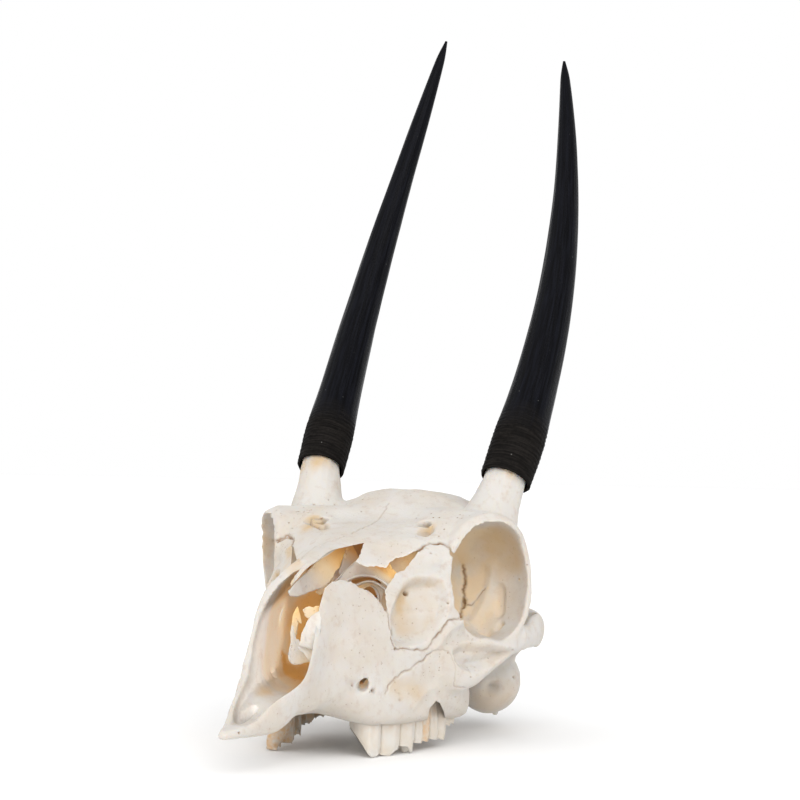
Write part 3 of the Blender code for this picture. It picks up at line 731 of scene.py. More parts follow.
def choana(shape):
    """The air way from the nose to the throat, under the skull base."""
    sweep(
        shape,
        ((0, -14, 19), (0, -4, 17), (0, 6, 12.0), (0, 18, 7.0)),
        ((5.4, 3.2), (4.6, 3.4), (4.2, 4.4), (4.4, 6.0)),
    )


def brow_hole(shape):
    """The small hole in the brow above the eye."""
    path = ((13.4, -8.6, 59.0), (14.6, -6.4, 54.4), (16.0, -3.0, 50.0))
    sweep(shape, path, ((2.0, 2.0), (1.7, 1.7), (1.2, 1.2)))


def cheek_hole(shape):
    """The infraorbital foramen, which opens forwards above the second premolar."""
    path = ((17.6, -46.0, 16.5), (14.2, -41.0, 18.4), (10.6, -34.0, 20.6))
    sweep(shape, path, ((1.2, 1.4), (1.2, 1.4), (1.0, 1.2)))


def palate_slit(shape):
    """The long opening through the floor of the nose, behind each front end."""
    sweep(shape, ((2.4, -78, 11.6), (3.2, -71, 12.2), (3.6, -64, 13.4)), ((0.9, 4.0), (1.3, 4.0), (0.9, 4.0)))


def level_foot(shape):
    """Trims what would reach below the surface that the skull stands on."""
    prism(shape, ((-40, 30), (40, 30), (40, 60), (-40, 60)), -12.0, 0.0)


def tooth_socket(shape, key):
    """The hollow in the jaw that a tooth's root stands in."""
    rings = []
    for z, inset in ((-1.0, 0.0), (GUM_Z, -0.1), (SOCKET_TOP_Z + SOCKET_GAP, -1.0)):
        outline = tooth_outline(TEETH[key], 8, SOCKET_GAP + inset)
        rings.append([(x, y, z) for x, y in outline])
    skin(shape, rings)


def tooth_outline(size, steps_per_lobe, grow):
    """The plan of one tooth: swellings on its cheek side and a plain round tongue side."""
    front, back, cheek_front, cheek_back, width, lobes = size[:6]
    steps = steps_per_lobe * lobes
    outer = []
    for i in range(steps + 1):
        share = i / steps
        swell = 0.9 * abs(math.sin(math.pi * share * lobes)) ** 0.5 - 0.9
        y = front + (back - front) * share
        outer.append((cheek_front + (cheek_back - cheek_front) * share + swell, y))
    inner = [(x - width + 1.2 * (1 - math.sin(math.pi * i / steps)), y) for i, (x, y) in enumerate(outer)]
    outline = np.array(outer + inner[::-1])
    away = outline - outline.mean(axis=0)
    return outline + away * (grow / np.linalg.norm(away, axis=1))[:, None]


# Lines and areas as the camera sees them, in pixels of an 800-pixel view

MAXILLA_TOP = (
    (325, 588), (332, 582), (340, 580), (352, 582), (360, 588), (366, 590), (372, 593), (378, 600),
)
LACRIMAL_GAP = ((382, 606), (385, 612), (387, 609), (386, 603), (385, 590))
LACRIMAL_TOP = ((385, 590), (392, 580), (396, 573), (405, 570), (410, 563), (418, 552), (419, 550.5))
FRONTAL_EDGE = (
    (419, 550), (413, 552), (405, 556), (396, 558), (389, 563), (386, 568), (376, 566), (366, 567),
    (356, 562), (360, 555), (364, 543),
)
RIGHT_NASAL_EDGE = (
    (363, 543), (345, 547), (330, 551), (318, 560), (305, 570), (295, 582), (283, 594), (272, 607),
    (262, 628), (252, 655), (246, 680), (240, 700), (233, 716),
)
LEFT_NOTCH = (
    (233, 726), (250, 722), (262, 713), (278, 700), (290, 692), (300, 684), (306, 675), (310, 662),
    (313, 648), (317, 622), (320, 605), (325, 588),
)
RIGHT_GAP = (
    (292.5, 545.5), (294, 548), (294.5, 552), (296, 557), (297.5, 562), (298, 565), (300, 564),
    (301, 565), (298, 568), (294, 571), (290, 574.5), (290, 571), (291, 565), (291.5, 558), (292, 551),
)
ORBIT_BROW = (
    (490, 524), (480, 528), (476, 531.5), (474, 537), (471, 541), (470, 545), (465, 549), (460, 552),
)
LACRIMAL_BACK = (
    (465, 549), (460, 552), (457, 553), (453, 553.5), (450, 548), (449.5, 552), (450, 555), (453, 558),
    (454, 561.5), (453, 565), (452, 569), (453, 573), (455, 577), (456, 580), (454, 584), (452, 588),
    (452.5, 591.5), (454, 597), (454.5, 601), (454, 605.5), (455, 608.5), (457.5, 611), (459, 614),
    (459.8, 618), (460, 621),
)
ARCH_GAP = ((427, 722), (430, 708), (436, 701), (440, 703), (444, 712), (446, 722))

INTERFRONTAL = (
    (351.2, 533.9), (356, 531), (360.7, 528.9), (368, 526), (375.4, 522.4), (381, 516), (386.3, 507.9),
    (389, 503),
)
RIGHT_FRONTONASAL = ((298.7, 561), (306, 554), (314.8, 547.2), (330, 541), (346.9, 535.8))
MAXILLO_LACRIMAL = ((387, 609), (388.3, 614), (390.6, 629.9), (392, 640), (395.2, 648.8))
LACRIMAL_LOW = (
    (395.2, 649.4), (404, 648), (412, 649.5), (420, 650), (427.3, 649.4), (431.9, 641.4), (438, 634),
    (442, 630), (448, 620.7), (453, 619), (459.4, 618.4),
)
JUGAL_FRONT = (
    (431.2, 653), (426, 656), (423.9, 660.3), (416, 664), (411, 669), (403.3, 672), (395, 679),
    (388.7, 685.2), (385.7, 694),
)
JUGAL_LOW = (
    (431.2, 653), (437, 650), (443, 649.3), (449, 652), (451.8, 655.9), (456.2, 666.2), (455, 676),
    (454, 686.7), (459, 687), (466.4, 688.2),
)
FRONTAL_CRACK = ((419, 550), (424, 546), (430, 543), (440, 543), (446, 545), (450, 549))
ORBIT_CRACK = (
    (463, 566), (464, 570), (465, 578), (465, 585), (463, 590), (464, 596), (465, 603), (462, 609),
    (460.5, 617),
)
ORBIT_BRANCH = ((466, 605), (472, 604.5), (476, 600), (480, 595), (483, 590), (485, 588))
ORBIT_HOLE = ((464, 596.5), (466.5, 599), (466, 603), (463.5, 607.5), (461.5, 606), (462, 602))
OPTIC_HOLE = (
    (500, 621.5), (503, 622), (505, 624), (502, 626), (500.5, 629), (498, 632), (497, 630), (498.5, 626),
)
ORBIT_OBLONG = (
    (494, 584), (500, 582), (507, 586), (508, 600), (507, 614), (501, 621), (495, 618), (492, 602),
)
RIGHT_JAG = (
    (273.5, 541), (279, 540), (281, 538.5), (284, 536.5), (287, 534.5), (289, 535.5), (291, 538),
    (293, 539.5),
)
FOSSA_RIM = (
    (391, 633), (391, 618), (394, 606), (398, 594), (402, 587), (408, 580), (415, 576.5), (428, 576),
    (441, 577.5), (449, 588), (450, 600), (446, 617), (438, 630), (428, 641), (412, 646), (397, 647),
)

RIGHT_BROW_PIT = (
    (305, 523), (307, 518.5), (313, 515.5), (318, 515.5), (322, 517.5), (323, 521), (327, 525),
    (329, 528), (326, 531), (321, 530), (316, 527), (311, 525),
)
LEFT_BROW_PIT = ((417, 534), (421, 529.5), (428, 525.5), (435.5, 524), (432, 531.5), (425, 537))
CHEEK_HOLLOW = (
    (453, 650), (462, 644), (472, 642), (484, 644), (497, 647), (513, 651), (509, 658), (500, 665),
    (488, 671), (474, 673), (462, 669), (455, 660),
)

# Small round openings: (pixel, radius and depth in millimetres, strength of its stain, which is painted shade
# in the opening, mirrored)
DOTS = (
    ((373.5, 690.5), 0.42, 1.6, 1.0, True), ((352.5, 685.5), 0.25, 0.6, 0.8, True),
    ((397, 648), 0.3, 0.5, 0.6, True), ((467, 667), 0.2, 0.5, 0.9, True),
    ((475, 670), 0.16, 0.4, 0.8, True), ((471, 677), 0.16, 0.4, 0.8, True),
    ((512.5, 650), 0.2, 0.5, 0.9, True), ((527, 565), 0.18, 0.4, 0.9, True),
    ((519, 579), 0.2, 0.5, 0.9, True), ((447.5, 603), 0.22, 0.5, 0.9, True),
    ((455.5, 697), 0.18, 0.4, 0.8, True), ((514, 677), 0.3, 0.6, 0.8, True),
    ((405.5, 593.5), 0.4, 1.2, 1.0, True), ((431, 553), 0.2, 0.4, 0.9, True),
    ((239.5, 733), 0.22, 0.5, 1.0, False), ((314, 504), 0.25, 0.5, 0.7, False),
    ((308, 512), 0.2, 0.4, 0.7, False), ((292, 528), 0.2, 0.4, 0.7, False),
    ((399, 693), 0.3, 0.2, 0.35, False), ((400, 700), 0.3, 0.2, 0.35, False),
)


def dorsal_window(shape):
    """Where the left nasal bone has come away, and all that lies in the camera's way to the hollow behind."""
    outline = [MAXILLA_TOP[0]]
    for line, seed in ((MAXILLA_TOP, 1), (LACRIMAL_GAP, 2), (LACRIMAL_TOP, 3), (FRONTAL_EDGE, 4)):
        outline += list(notched(line, 2.2, 0.55, seed))[1:]
    outline += [tuple(p) for p in through(RIGHT_NASAL_EDGE, 3)]
    outline += [tuple(p) for p in through(LEFT_NOTCH, 3)][:-1]
    sight_wedge(shape, outline, near_x=45.0, far_x=0.4)


def right_gap(shape):
    """The gap in the frontal bone before the right eye."""
    sight_wedge(shape, RIGHT_GAP, near_x=-7.0, far_x=-27.5)


def lacrimal_bites(shape):
    """The broken, scalloped hind edge of the lacrimal, in front of the left eye."""
    outline = [tuple(p) for p in notched(LACRIMAL_BACK, 2.0, 0.35, 8)]
    outline += [(470, 616), (472, 600), (472, 580), (474, 562)]
    sight_wedge(shape, outline, near_x=45.0, far_x=21.0)


def brow_bite(shape):
    """The chipped edge of the frontal bone above the left eye."""
    outline = [tuple(p) for p in notched(ORBIT_BROW, 2.0, 0.35, 9)]
    sight_wedge(shape, outline + [(476, 550), (484, 538), (492, 530)], near_x=45.0, far_x=28.5)


def arch_gap(shape):
    """The notch in the jaw above the roots of the second molar."""
    sight_wedge(shape, ARCH_GAP, near_x=45.0, far_x=18.0)


# Edge of a voxel in millimetres, first to fuse the bodies and then to soften the cuts
FINE_VOXELS = (0.62, 0.5)
# Rays that look for the sky from each vertex
SKY_RAYS = 14
SHARP_ANGLE = 50


def head_body(voxels):
    """The bone's main bodies, fused, hollowed and smoothed."""
    shape = bmesh.new()
    face_and_snout(shape)
    brow(shape)
    braincase(shape)
    both_sides(half_head, shape)
    for side in HORNS:
        horn_core(shape, side)
    head = object_from(shape, "cranium_bone")
    remesh(head, voxels[0], 5)
    twice = (eye_hollow, eye_mouth, temporal_gap, brow_hole, cheek_hole, palate_slit)
    once = (nasal_cavity, nostril_notch, brow_hollow, brain_mouth, foramen_magnum, choana)
    cut(head, [partial(both_sides, build) for build in twice])
    cut(head, once)
    return remesh(head, voxels[1], 2)


def broken_edges(head):
    """Cuts the edges that are crisp in the real bone, and the places for the teeth."""
    cut(head, (dorsal_window, right_gap, lacrimal_bites, brow_bite, arch_gap, level_foot))
    cut(head, [partial(both_sides, partial(tooth_socket, key=key)) for key in TEETH])


# Relief and colour on the bone

# How far behind the first bone in its way a point still counts as seen, in millimetres
SIGHT_SLACK = 1.4
# Spacing of the points on a suture or crack, and the widest gap that it runs across
LINE_STEP = 0.15
WIDEST_JUMP = 3.0
# Stands for a place that is out of every line's reach
FAR = 1e9
# How far away a wall still takes light
SKY_REACH = 45.0


def left_turn(points):
    """What turns each point, or its direction, over to the animal's left side."""
    return np.where(points[:, :1] < 0, (-1, 1, 1), (1, 1, 1))


def mirrored(points):
    """Every point moved to the animal's left side, where the camera looks."""
    return points * left_turn(points)


def in_sight(tree, points, normals):
    """True where the camera would see the point, or its mirror image on the left side."""
    start = view_point()
    left = mirrored(points)
    turned = normals * left_turn(points)
    away = left - start
    reach = np.linalg.norm(away, axis=1)
    facing = (turned * away).sum(axis=1) < 0.15 * reach
    seen = np.zeros(len(points), bool)
    start = Vector(start)
    for i in np.flatnonzero(facing):
        gap = tree.ray_cast(start, Vector(away[i] / reach[i]))[3]
        seen[i] = gap is None or gap > reach[i] - SIGHT_SLACK
    return seen


def dent(pixels, outline, depth, soft):
    """How far a hollow with this outline goes in, at full depth past `soft` pixels from its edge."""
    low, high = np.min(outline, axis=0), np.max(outline, axis=0)
    near = ((pixels > low) & (pixels < high)).all(axis=1)
    out = np.zeros(len(pixels))
    found = np.flatnonzero(near)
    found = found[within(pixels[found], outline)]
    out[found] = depth * ease(polyline_distance(pixels[found], outline, closed=True) / soft)
    return out


def blob(pixels, centre, radii, height, turn=0.0):
    """A soft swelling, or a hollow where the height is below 0, on the camera's view of the bone."""
    a = math.radians(turn)
    away = (pixels - centre) @ np.array(((math.cos(a), -math.sin(a)), (math.sin(a), math.cos(a))))
    return height * np.exp(-((away / radii) ** 2).sum(axis=1))


def crease(pixels, line, width, height):
    """A soft ridge, or a groove where the height is below 0, along a line of pixels."""
    low, high = np.min(line, axis=0) - 3 * width, np.max(line, axis=0) + 3 * width
    near = np.flatnonzero(((pixels > low) & (pixels < high)).all(axis=1))
    out = np.zeros(len(pixels))
    out[near] = height * np.exp(-(polyline_distance(pixels[near], line) / width) ** 2)
    return out


def fossa_tilt(pixels):
    """The hollow before the eye is deep in front and shallow behind."""
    return 0.45 + 0.55 * ease((446 - pixels[:, 0] + (pixels[:, 1] < 610) * 10) / 48)


# The larger forms: what each is and its measures, in pixels and millimetres, positive where it stands out
FORMS = (
    (blob, (356, 686), (9, 5), -1.3, 20),
    (blob, (340, 640), (13, 40), -0.8, 15),
    (crease, ((436, 648), (450, 628), (461, 621), (472, 634), (492, 644), (513, 648)), 3.2, 0.9),
    (blob, (482, 664), (20, 9), -1.4, -5),
    (dent, CHEEK_HOLLOW, -2.4, 4.0),
    (blob, (493, 688), (7, 4.5), -3.0, -20),
    (blob, (399, 698), (18, 9), 0.5),
    (crease, ((412, 708), (424, 692), (436, 686), (446, 700)), 3.0, 0.6),
    (dent, OPTIC_HOLE, -3.0, 2.0),
    (dent, ORBIT_HOLE, -2.2, 1.5),
    (dent, ORBIT_OBLONG, -0.9, 5.0),
    (blob, (486, 633), (7, 4), -1.5),
    (crease, ((474, 622), (484, 604), (491, 584), (493, 565)), 5.0, 0.8),
    (blob, (398, 512), (26, 9), -0.7),
    (blob, (404, 540), (22, 6), 0.4),
)
# Size in millimetres, seed and height of the bone's fine unevenness
BONE_RIPPLES = ((9.0, 1, 0.26), (3.4, 2, 0.13), (1.5, 3, 0.06))


def carve(head, settings):
    """Presses the larger hollows and ridges into the bone, the same on both sides."""
    mesh = head.data
    points, normals = points_of(mesh), normals_of(mesh)
    seen = in_sight(tree_of(head), points, normals)
    pixels = seen_at(mirrored(points))
    right_pit = dent(seen_at(points), RIGHT_BROW_PIT, 3.4, 3.0)
    left_pit = dent(pixels, LEFT_BROW_PIT, 3.0, 2.5)
    lift = -dent(pixels, FOSSA_RIM, 4.0, 6) * fossa_tilt(pixels)
    lift -= np.where(points[:, 0] < 0, right_pit, left_pit)
    for form, *measures in FORMS:
        lift += form(pixels, *measures)
    lift = averaged(mesh, np.where(seen, lift, 0.0), 2)
    uneven = sum(ripple(points, size, seed) * height for size, seed, height in BONE_RIPPLES)
    lift += uneven * settings.relief
    lift += core_streaks(points) * settings.relief
    move_points(mesh, uneven_sides(points + normals * lift[:, None]))


# The real skull is a little lopsided: (centre, reach along x, y and z, shift toward the animal's left)
LEANS = (
    ((-37.0, 6.0, 48.0), (9.0, 14.0, 10.0), -2.0),
    ((38.0, 5.0, 44.0), (7.0, 14.0, 13.0), -2.1),
    ((-12.0, -66.0, 24.0), (10.0, 24.0, 18.0), 1.8),
)
TIP_CENTRE = (0.0, -84.0, 11.0)
TIP_REACH = 9.5
TIP_SHIFT = (0.6, 2.6, 0.5)
PROCESS_TOP_Z = 9.0
PROCESS_WEAR = 0.43


def uneven_sides(points):
    """Leans the bars behind the eyes and the snout's wall, and shortens the tip and the left process."""
    shift = 0
    for centre, reach, lean in LEANS:
        shift = shift + lean * np.exp(-(((points - centre) / reach) ** 2).sum(axis=1))
    tip = np.exp(-(((points - TIP_CENTRE) / TIP_REACH) ** 2).sum(axis=1))
    left_process = (points[:, 0] > 8) * ease((points[:, 1] - 43.5) / 1.5)
    rise = left_process * np.maximum(PROCESS_TOP_Z - points[:, 2], 0) * PROCESS_WEAR
    return points + np.outer(shift, (1, 0, 0)) + np.outer(rise, (0, 0, 1)) + np.outer(tip, TIP_SHIFT)


def core_streaks(points):
    """Lengthwise grooves in the bony horn cores, fading out over the brow."""
    total = np.zeros(len(points))
    for side, curve in HORNS.items():
        low = core_foot(side)
        high = np.asarray(bezier(curve, 0.1))
        along = high - low
        share = (points - low) @ along / (along @ along)
        out = points - low - share[:, None] * along
        gap = np.linalg.norm(out, axis=1)
        across = np.cross(along, (0, -1, 0))
        turn = np.arctan2(out @ across / np.linalg.norm(across), -out[:, 1])
        place_on = np.stack([np.cos(turn) * 6, np.sin(turn) * 6, share * 2.2], axis=1)
        weight = ease((share - 0.15) * 4) * (gap < 9)
        total += weight * (ripple(place_on, 0.55, 5) * 0.2 + ripple(place_on, 1.4, 6) * 0.12)
    return total


def line_points(tree, pixels, wander, seed, mirror):
    """A feature line on the bone, on both sides of the head where `mirror` says so."""
    found = on_bone(tree, notched(pixels, 1.8, wander, seed))
    if len(found) < 2:
        return []
    lines = [found]
    if mirror:
        other = [tree.find_nearest(Vector(p * (-1, 1, 1)))[0] for p in found]
        lines.append(np.array([tuple(p) for p in other]))
    return lines


def dense(line):
    """The line with a point every LINE_STEP, without the jumps across open air."""
    out = []
    for a, b in zip(line, line[1:]):
        length = np.linalg.norm(b - a)
        if length < WIDEST_JUMP:
            out += [a + (b - a) * t for t in np.arange(0, 1, LINE_STEP / max(length, LINE_STEP))]
    return np.array(out)


def lookup(targets):
    """A tree that finds the nearest of the targets."""
    tree = KDTree(len(targets))
    for i, target in enumerate(targets):
        tree.insert(target, i)
    tree.balance()
    return tree


def nearest_gap(points, targets):
    """Distance from each point to the nearest target."""
    tree = lookup(targets)
    return np.array([tree.find(p)[2] for p in points])


def refine(obj, targets, reach, edge):
    """Splits the faces near the targets until their edges are short."""
    shape = bmesh.new()
    shape.from_mesh(obj.data)
    low, high = targets.min(axis=0) - reach, targets.max(axis=0) + reach
    tree = lookup(targets)
    known = {}
    for _ in range(3):
        long_edges = []
        for e in shape.edges:
            if e.calc_length() <= edge:
                continue
            ends = []
            for v in e.verts:
                key = tuple(v.co)
                if key not in known:
                    inside = all(low[k] < key[k] < high[k] for k in range(3))
                    known[key] = tree.find(v.co)[2] if inside else FAR
                ends.append(known[key])
            if min(ends) < reach + 0.5 * e.calc_length():
                long_edges.append(e)
        split_edges(shape, long_edges)
    shape.to_mesh(obj.data)
    shape.free()


# Line, its wander in pixels, half width and depth in millimetres, strength of its stain, mirrored
SUTURES = (
    (INTERFRONTAL, 0.9, 0.16, 0.25, 0.45, False),
    (RIGHT_FRONTONASAL, 0.8, 0.15, 0.25, 0.35, False),
    (MAXILLO_LACRIMAL, 0.5, 0.2, 0.4, 0.7, True),
    (LACRIMAL_LOW, 0.7, 0.2, 0.4, 0.8, True),
    (JUGAL_FRONT, 0.7, 0.18, 0.35, 0.6, True),
    (JUGAL_LOW, 0.7, 0.14, 0.25, 0.35, True),
    (FRONTAL_CRACK, 0.7, 0.24, 0.6, 1.0, True),
    (ORBIT_CRACK, 0.7, 0.26, 0.6, 1.0, True),
    (ORBIT_BRANCH, 0.5, 0.16, 0.3, 0.6, True),
    (RIGHT_JAG, 0.8, 0.24, 0.5, 0.9, False),
)


FIRST_SUTURE_SEED = 20
DOT_SEED = 60


def engrave(head, settings):
    """Cuts the sutures, cracks and small openings into the bone as fine grooves and pits, stains the sutures
    and cracks, and darkens the openings with painted shade.
    """
    tree = tree_of(head)
    lines = []
    for i, (pixels, wander, width, depth, stain, mirror) in enumerate(SUTURES):
        for line in line_points(tree, pixels, wander, FIRST_SUTURE_SEED + i, mirror):
            lines.append((dense(line), width, depth, stain))
    for (px, py), radius, depth, stain, mirror in DOTS:
        for spot in line_points(tree, ((px - 0.4, py), (px + 0.4, py + 0.3)), 0.0, DOT_SEED, mirror):
            lines.append((spot, radius * 0.7, depth, stain))
    refine(head, np.vstack([line for line, *_ in lines]), 0.8, settings.suture_edge)
    mesh = head.data
    points, normals = points_of(mesh), normals_of(mesh)
    lift = np.zeros(len(points))
    stains_and_shade = np.zeros(len(points))
    for line, width, depth, stain in lines:
        low, high = line.min(axis=0) - 2, line.max(axis=0) + 2
        near = np.flatnonzero(((points > low) & (points < high)).all(axis=1))
        gap = nearest_gap(points[near], line)
        uneven = 0.75 + 0.4 * ripple(points[near], 1.6, 9)
        lift[near] -= depth * uneven * np.exp(-(gap / (width * 1.6)) ** 2)
        # Stains along the sutures and cracks, and painted shade in the small openings
        stains_and_shade[near] = np.maximum(stains_and_shade[near], stain * uneven * np.exp(-(gap / (width * 1.25)) ** 2))
    move_points(mesh, points + normals * lift[:, None])
    paint(mesh, "stain", np.clip(stains_and_shade, 0, 1))


def averaged(mesh, values, rounds):
    """Each vertex's value blended with its neighbours' a few times."""
    pairs = np.empty(len(mesh.edges) * 2, np.int64)
    mesh.edges.foreach_get("vertices", pairs)
    a, b = pairs.reshape(-1, 2).T
    count = np.bincount(a, minlength=len(values)) + np.bincount(b, minlength=len(values)) + 1.0
    for _ in range(rounds):
        total = values + np.bincount(a, values[b], len(values)) + np.bincount(b, values[a], len(values))
        values = total / count
    return values


def openness(obj, rays):
    """The share of the sky that each vertex sees past the object's own walls."""
    mesh = obj.data
    tree = tree_of(obj)
    points, normals = points_of(mesh), normals_of(mesh)
    turns = np.arange(rays) * math.pi * (3 - math.sqrt(5))
    height = 1 - (np.arange(rays) + 0.5) / rays
    level = np.sqrt(1 - height**2)
    aside = np.cross(normals, (0.31, 0.17, 0.94))
    aside /= np.maximum(np.linalg.norm(aside, axis=1), 1e-9)[:, None]
    third = np.cross(normals, aside)
    starts = points + normals * 0.12
    values = np.zeros(len(points))
    for a, b, c in zip(np.cos(turns) * level, np.sin(turns) * level, height):
        ways = a * aside + b * third + c * normals
        values += [tree.ray_cast(start, way, SKY_REACH)[0] is None for start, way in zip(starts, ways)]
    values /= rays
    return averaged(mesh, values, 4)


def patch(pixels, outline, soft):
    """1 well inside an outline of pixels, easing to 0 at its edge over `soft` pixels."""
    return dent(pixels, outline, 1.0, soft)


# Painted shade in the orbits, the hollows before the eyes, the cheek hollow, the brow pits, the nose and
# under rims, and tan stains at the feet of the horn cores and on the face
# Tan patches: (softness of its edge in pixels, strength, both sides or the right alone, outline)
TAN_AND_SHADE_PATCHES = (
    (7.0, 0.62, True, (
        (462, 549), (470, 546), (474, 537), (484, 526), (500, 521), (516, 530), (523, 546), (526, 560),
        (524, 576), (500, 577), (478, 574), (462, 571), (451, 562), (450, 552),
    )),
    (6.0, 0.25, True, (
        (470, 700), (464, 690), (474, 684), (490, 674), (512, 676), (519, 690), (508, 706), (488, 716),
        (470, 714),
    )),
    (5.0, 0.3, True, (
        (455, 646), (470, 641), (490, 644), (512, 650), (513, 656), (505, 660), (495, 668), (480, 664),
        (463, 652),
    )),
    (4.0, 1.0, True, (
        (394, 600), (402, 584), (414, 577), (440, 578), (448, 588), (430, 590), (412, 592), (404, 604),
        (402, 640), (394, 632),
    )),
    (8.0, 0.35, True, (
        (398, 640), (399, 604), (405, 588), (440, 586), (446, 604), (436, 628), (420, 640),
    )),
    (2.0, 0.45, False, (
        (267, 515), (264, 519), (261.5, 526), (260.5, 535), (260, 545), (261, 555), (263, 566),
        (266, 577), (266.5, 590), (263, 607), (258, 612), (264, 606), (269, 584), (270, 570), (273, 555),
        (277, 543), (272, 536), (269.5, 524),
    )),
    (2.0, 0.7, False, (
        (284, 575), (286, 548), (292, 544), (302, 562), (302, 570), (292, 578),
    )),
    (2.0, 1.0, False, (
        (304, 522), (307, 517), (313, 514), (322, 516), (330, 527), (328, 532), (316, 529),
    )),
    (2.0, 1.0, True, (
        (416, 535), (420, 529), (428, 524), (437, 523), (433, 532), (425, 538),
    )),
    (4.0, 0.8, False, (
        (308, 452), (330, 454), (332, 470), (324, 464), (316, 472), (308, 466),
    )),
    (5.0, 0.7, False, (
        (252, 690), (262, 682), (274, 684), (280, 692), (270, 698), (256, 698),
    )),
    (9.0, 0.4, True, (
        (384, 678), (412, 672), (430, 690), (424, 704), (398, 706), (384, 694),
    )),
    (4.0, 0.6, True, (
        (502, 464), (518, 466), (519, 480), (510, 482), (503, 474),
    )),
)
# Painted light: a wall inside the nose, made paler and given more painted glow
PALE_WALL = (
    (254, 625), (262, 612), (272, 603), (283, 594), (290, 596), (290, 606), (288, 620), (287, 635),
    (284, 652), (281, 668), (284, 676), (292, 682), (300, 686), (290, 696), (262, 716), (236, 724),
    (236, 700), (243, 670), (249, 645),
)
# Where the sheltered bone inside the nose gets its painted glow
NOSE_INSIDE = (
    (254, 625), (262, 612), (272, 603), (283, 592), (300, 572), (318, 556), (345, 544), (364, 541),
    (420, 548), (396, 574), (388, 612), (378, 602), (362, 592), (350, 584), (335, 584), (324, 592),
    (322, 610), (316, 640), (312, 662), (302, 690), (262, 716), (236, 724), (236, 700), (243, 670),
    (249, 645),
)
# Painted shade: a hollow inside the nose, made darker
DARK_HOLLOW = (
    (280, 650), (286, 652), (288, 662), (296, 667), (309, 662), (304, 682), (292, 680), (282, 673),
)
# Bone with many small pores: (centre in pixels, radii, strength)
PORE_SPOTS = (
    ((436, 515), (40, 28), 1.0), ((424, 612), (18, 20), 0.8), ((486, 664), (22, 12), 0.7),
    ((360, 500), (20, 12), 0.7), ((455, 648), (24, 10), 0.8), ((382, 690), (26, 10), 0.7),
    ((400, 640), (40, 40), 0.25), ((470, 560), (30, 30), 0.3), ((300, 510), (12, 12), 0.7),
    ((480, 664), (20, 12), 0.6),
)


def paint_depth(head, sky):
    """Paints how open each place is, with painted light on a wall inside the nose and painted shade in a
    hollow there, and a painted glow on the sheltered bone inside the nose.
    """
    points = points_of(head.data)
    pixels = seen_at(points)
    pale = patch(pixels, PALE_WALL, 7.0)
    dark = patch(pixels, DARK_HOLLOW, 3.0)
    # Painted light makes the wall inside the nose paler; painted shade darkens the hollow
    sky = np.maximum(sky, 0.2 * pale) * (1 - 0.8 * dark * (sky < 0.5))
    # Painted glow, given off as emission by the sheltered bone inside the nose
    inside = patch(pixels, NOSE_INSIDE, 3.0) * (points[:, 1] < -10) * ease((0.75 - sky) / 0.4)
    inside *= 1 - 0.85 * ease((normals_of(head.data)[:, 2] - 0.2) / 0.35)
    paint(head.data, "open", sky)
    paint(head.data, "painted_glow", inside * (0.26 + 0.36 * pale) * (1 - 0.75 * dark))


def paint_places(head):
    """Paints the tan patches, which are painted shade and tan stains, and where the bone has pores, by where
    the camera sees it.
    """
    mesh = head.data
    points, normals = points_of(mesh), normals_of(mesh)
    facing = (normals * (view_point() - points)).sum(axis=1) > 0
    both_sets = seen_at(mirrored(points)), in_sight(tree_of(head), points, normals)
    right_set = seen_at(points), (points[:, 0] < 0) * facing * (points[:, 1] < 26)
    tan_and_shade = np.zeros(len(points))
    for soft, strength, both, outline in TAN_AND_SHADE_PATCHES:
        pixels, shown = both_sets if both else right_set
        tan_and_shade = np.maximum(tan_and_shade, strength * patch(pixels, outline, soft) * shown)
    pores = np.zeros(len(points))
    for centre, radii, strength in PORE_SPOTS:
        pores = np.maximum(pores, blob(both_sets[0], centre, radii, strength))
    paint(mesh, "tan_and_shade", averaged(mesh, tan_and_shade, 2))
    paint(mesh, "pitted", pores)


# Thin plates and scrolls inside the nose

def crumpled(obj, size, depth, seed):
    """Makes a thin piece a little uneven."""
    mesh = obj.data
    points, normals = points_of(mesh), normals_of(mesh)
    lift = ripple(points, size, seed) * depth + ripple(points, size / 2.7, seed + 1) * depth * 0.35
    move_points(mesh, points + normals * lift[:, None])


def plate(name, pixels, point, normal, bulge, jag, seed):
    """A thin bent plate of bone with this outline in the camera's view, on a plane through the skull."""
    shape = bmesh.new()
    outline = notched(list(pixels) + [pixels[0]], 2.0, jag, seed)[:-1]
    corners = np.array([on_plane(px, py, point, normal) for px, py in outline])
    shape.faces.new([shape.verts.new(corner) for corner in corners])
    bmesh.ops.triangulate(shape, faces=shape.faces[:])
    for _ in range(6):
        long_edges = [e for e in shape.edges if e.calc_length() > PLATE_EDGE]
        split_edges(shape, long_edges)
    middle = corners.mean(axis=0)
    reach = np.linalg.norm(corners - middle, axis=1).max()
    away = unit(normal)
    for v in shape.verts:
        gap = np.linalg.norm(np.array(v.co) - middle) / reach
        v.co += Vector(away * bulge * (1 - gap * gap))
    obj = object_from(shape, name)
    crumpled(obj, 3.0, 0.16, seed)
    solid = obj.modifiers.new("Solid", "SOLIDIFY")
    solid.thickness = PLATE_THICKNESS
    solid.offset = 0
    return applied(obj)


def ribbon(name, pixels, point, radii, seed):
    """A rounded strip of bone along a line in the camera's view."""
    shape = bmesh.new()
    path = [on_plane(px, py, point, CROSSWISE) for px, py in pixels]
    sizes = [radii] * len(path)
    sizes[0] = sizes[-1] = tuple(r * 0.6 for r in radii)
    sweep(shape, path, sizes, around=16, per_span=8, up=CROSSWISE)
    obj = object_from(shape, name)
    crumpled(obj, 2.0, 0.08, seed)
    return obj


# Plates and ribbons inside the nose, in millimetres, and the planes that they lie in
PLATE_THICKNESS = 0.5
PLATE_EDGE = 0.55
FIRST_PLATE_SEED = 31
FIRST_RIBBON_SEED = 50
LENGTHWISE = (1.0, -0.2, 0.25)
CROSSWISE = (0.3, -1.0, 0.1)
FORWARD = (0.45, -0.88, 0.15)

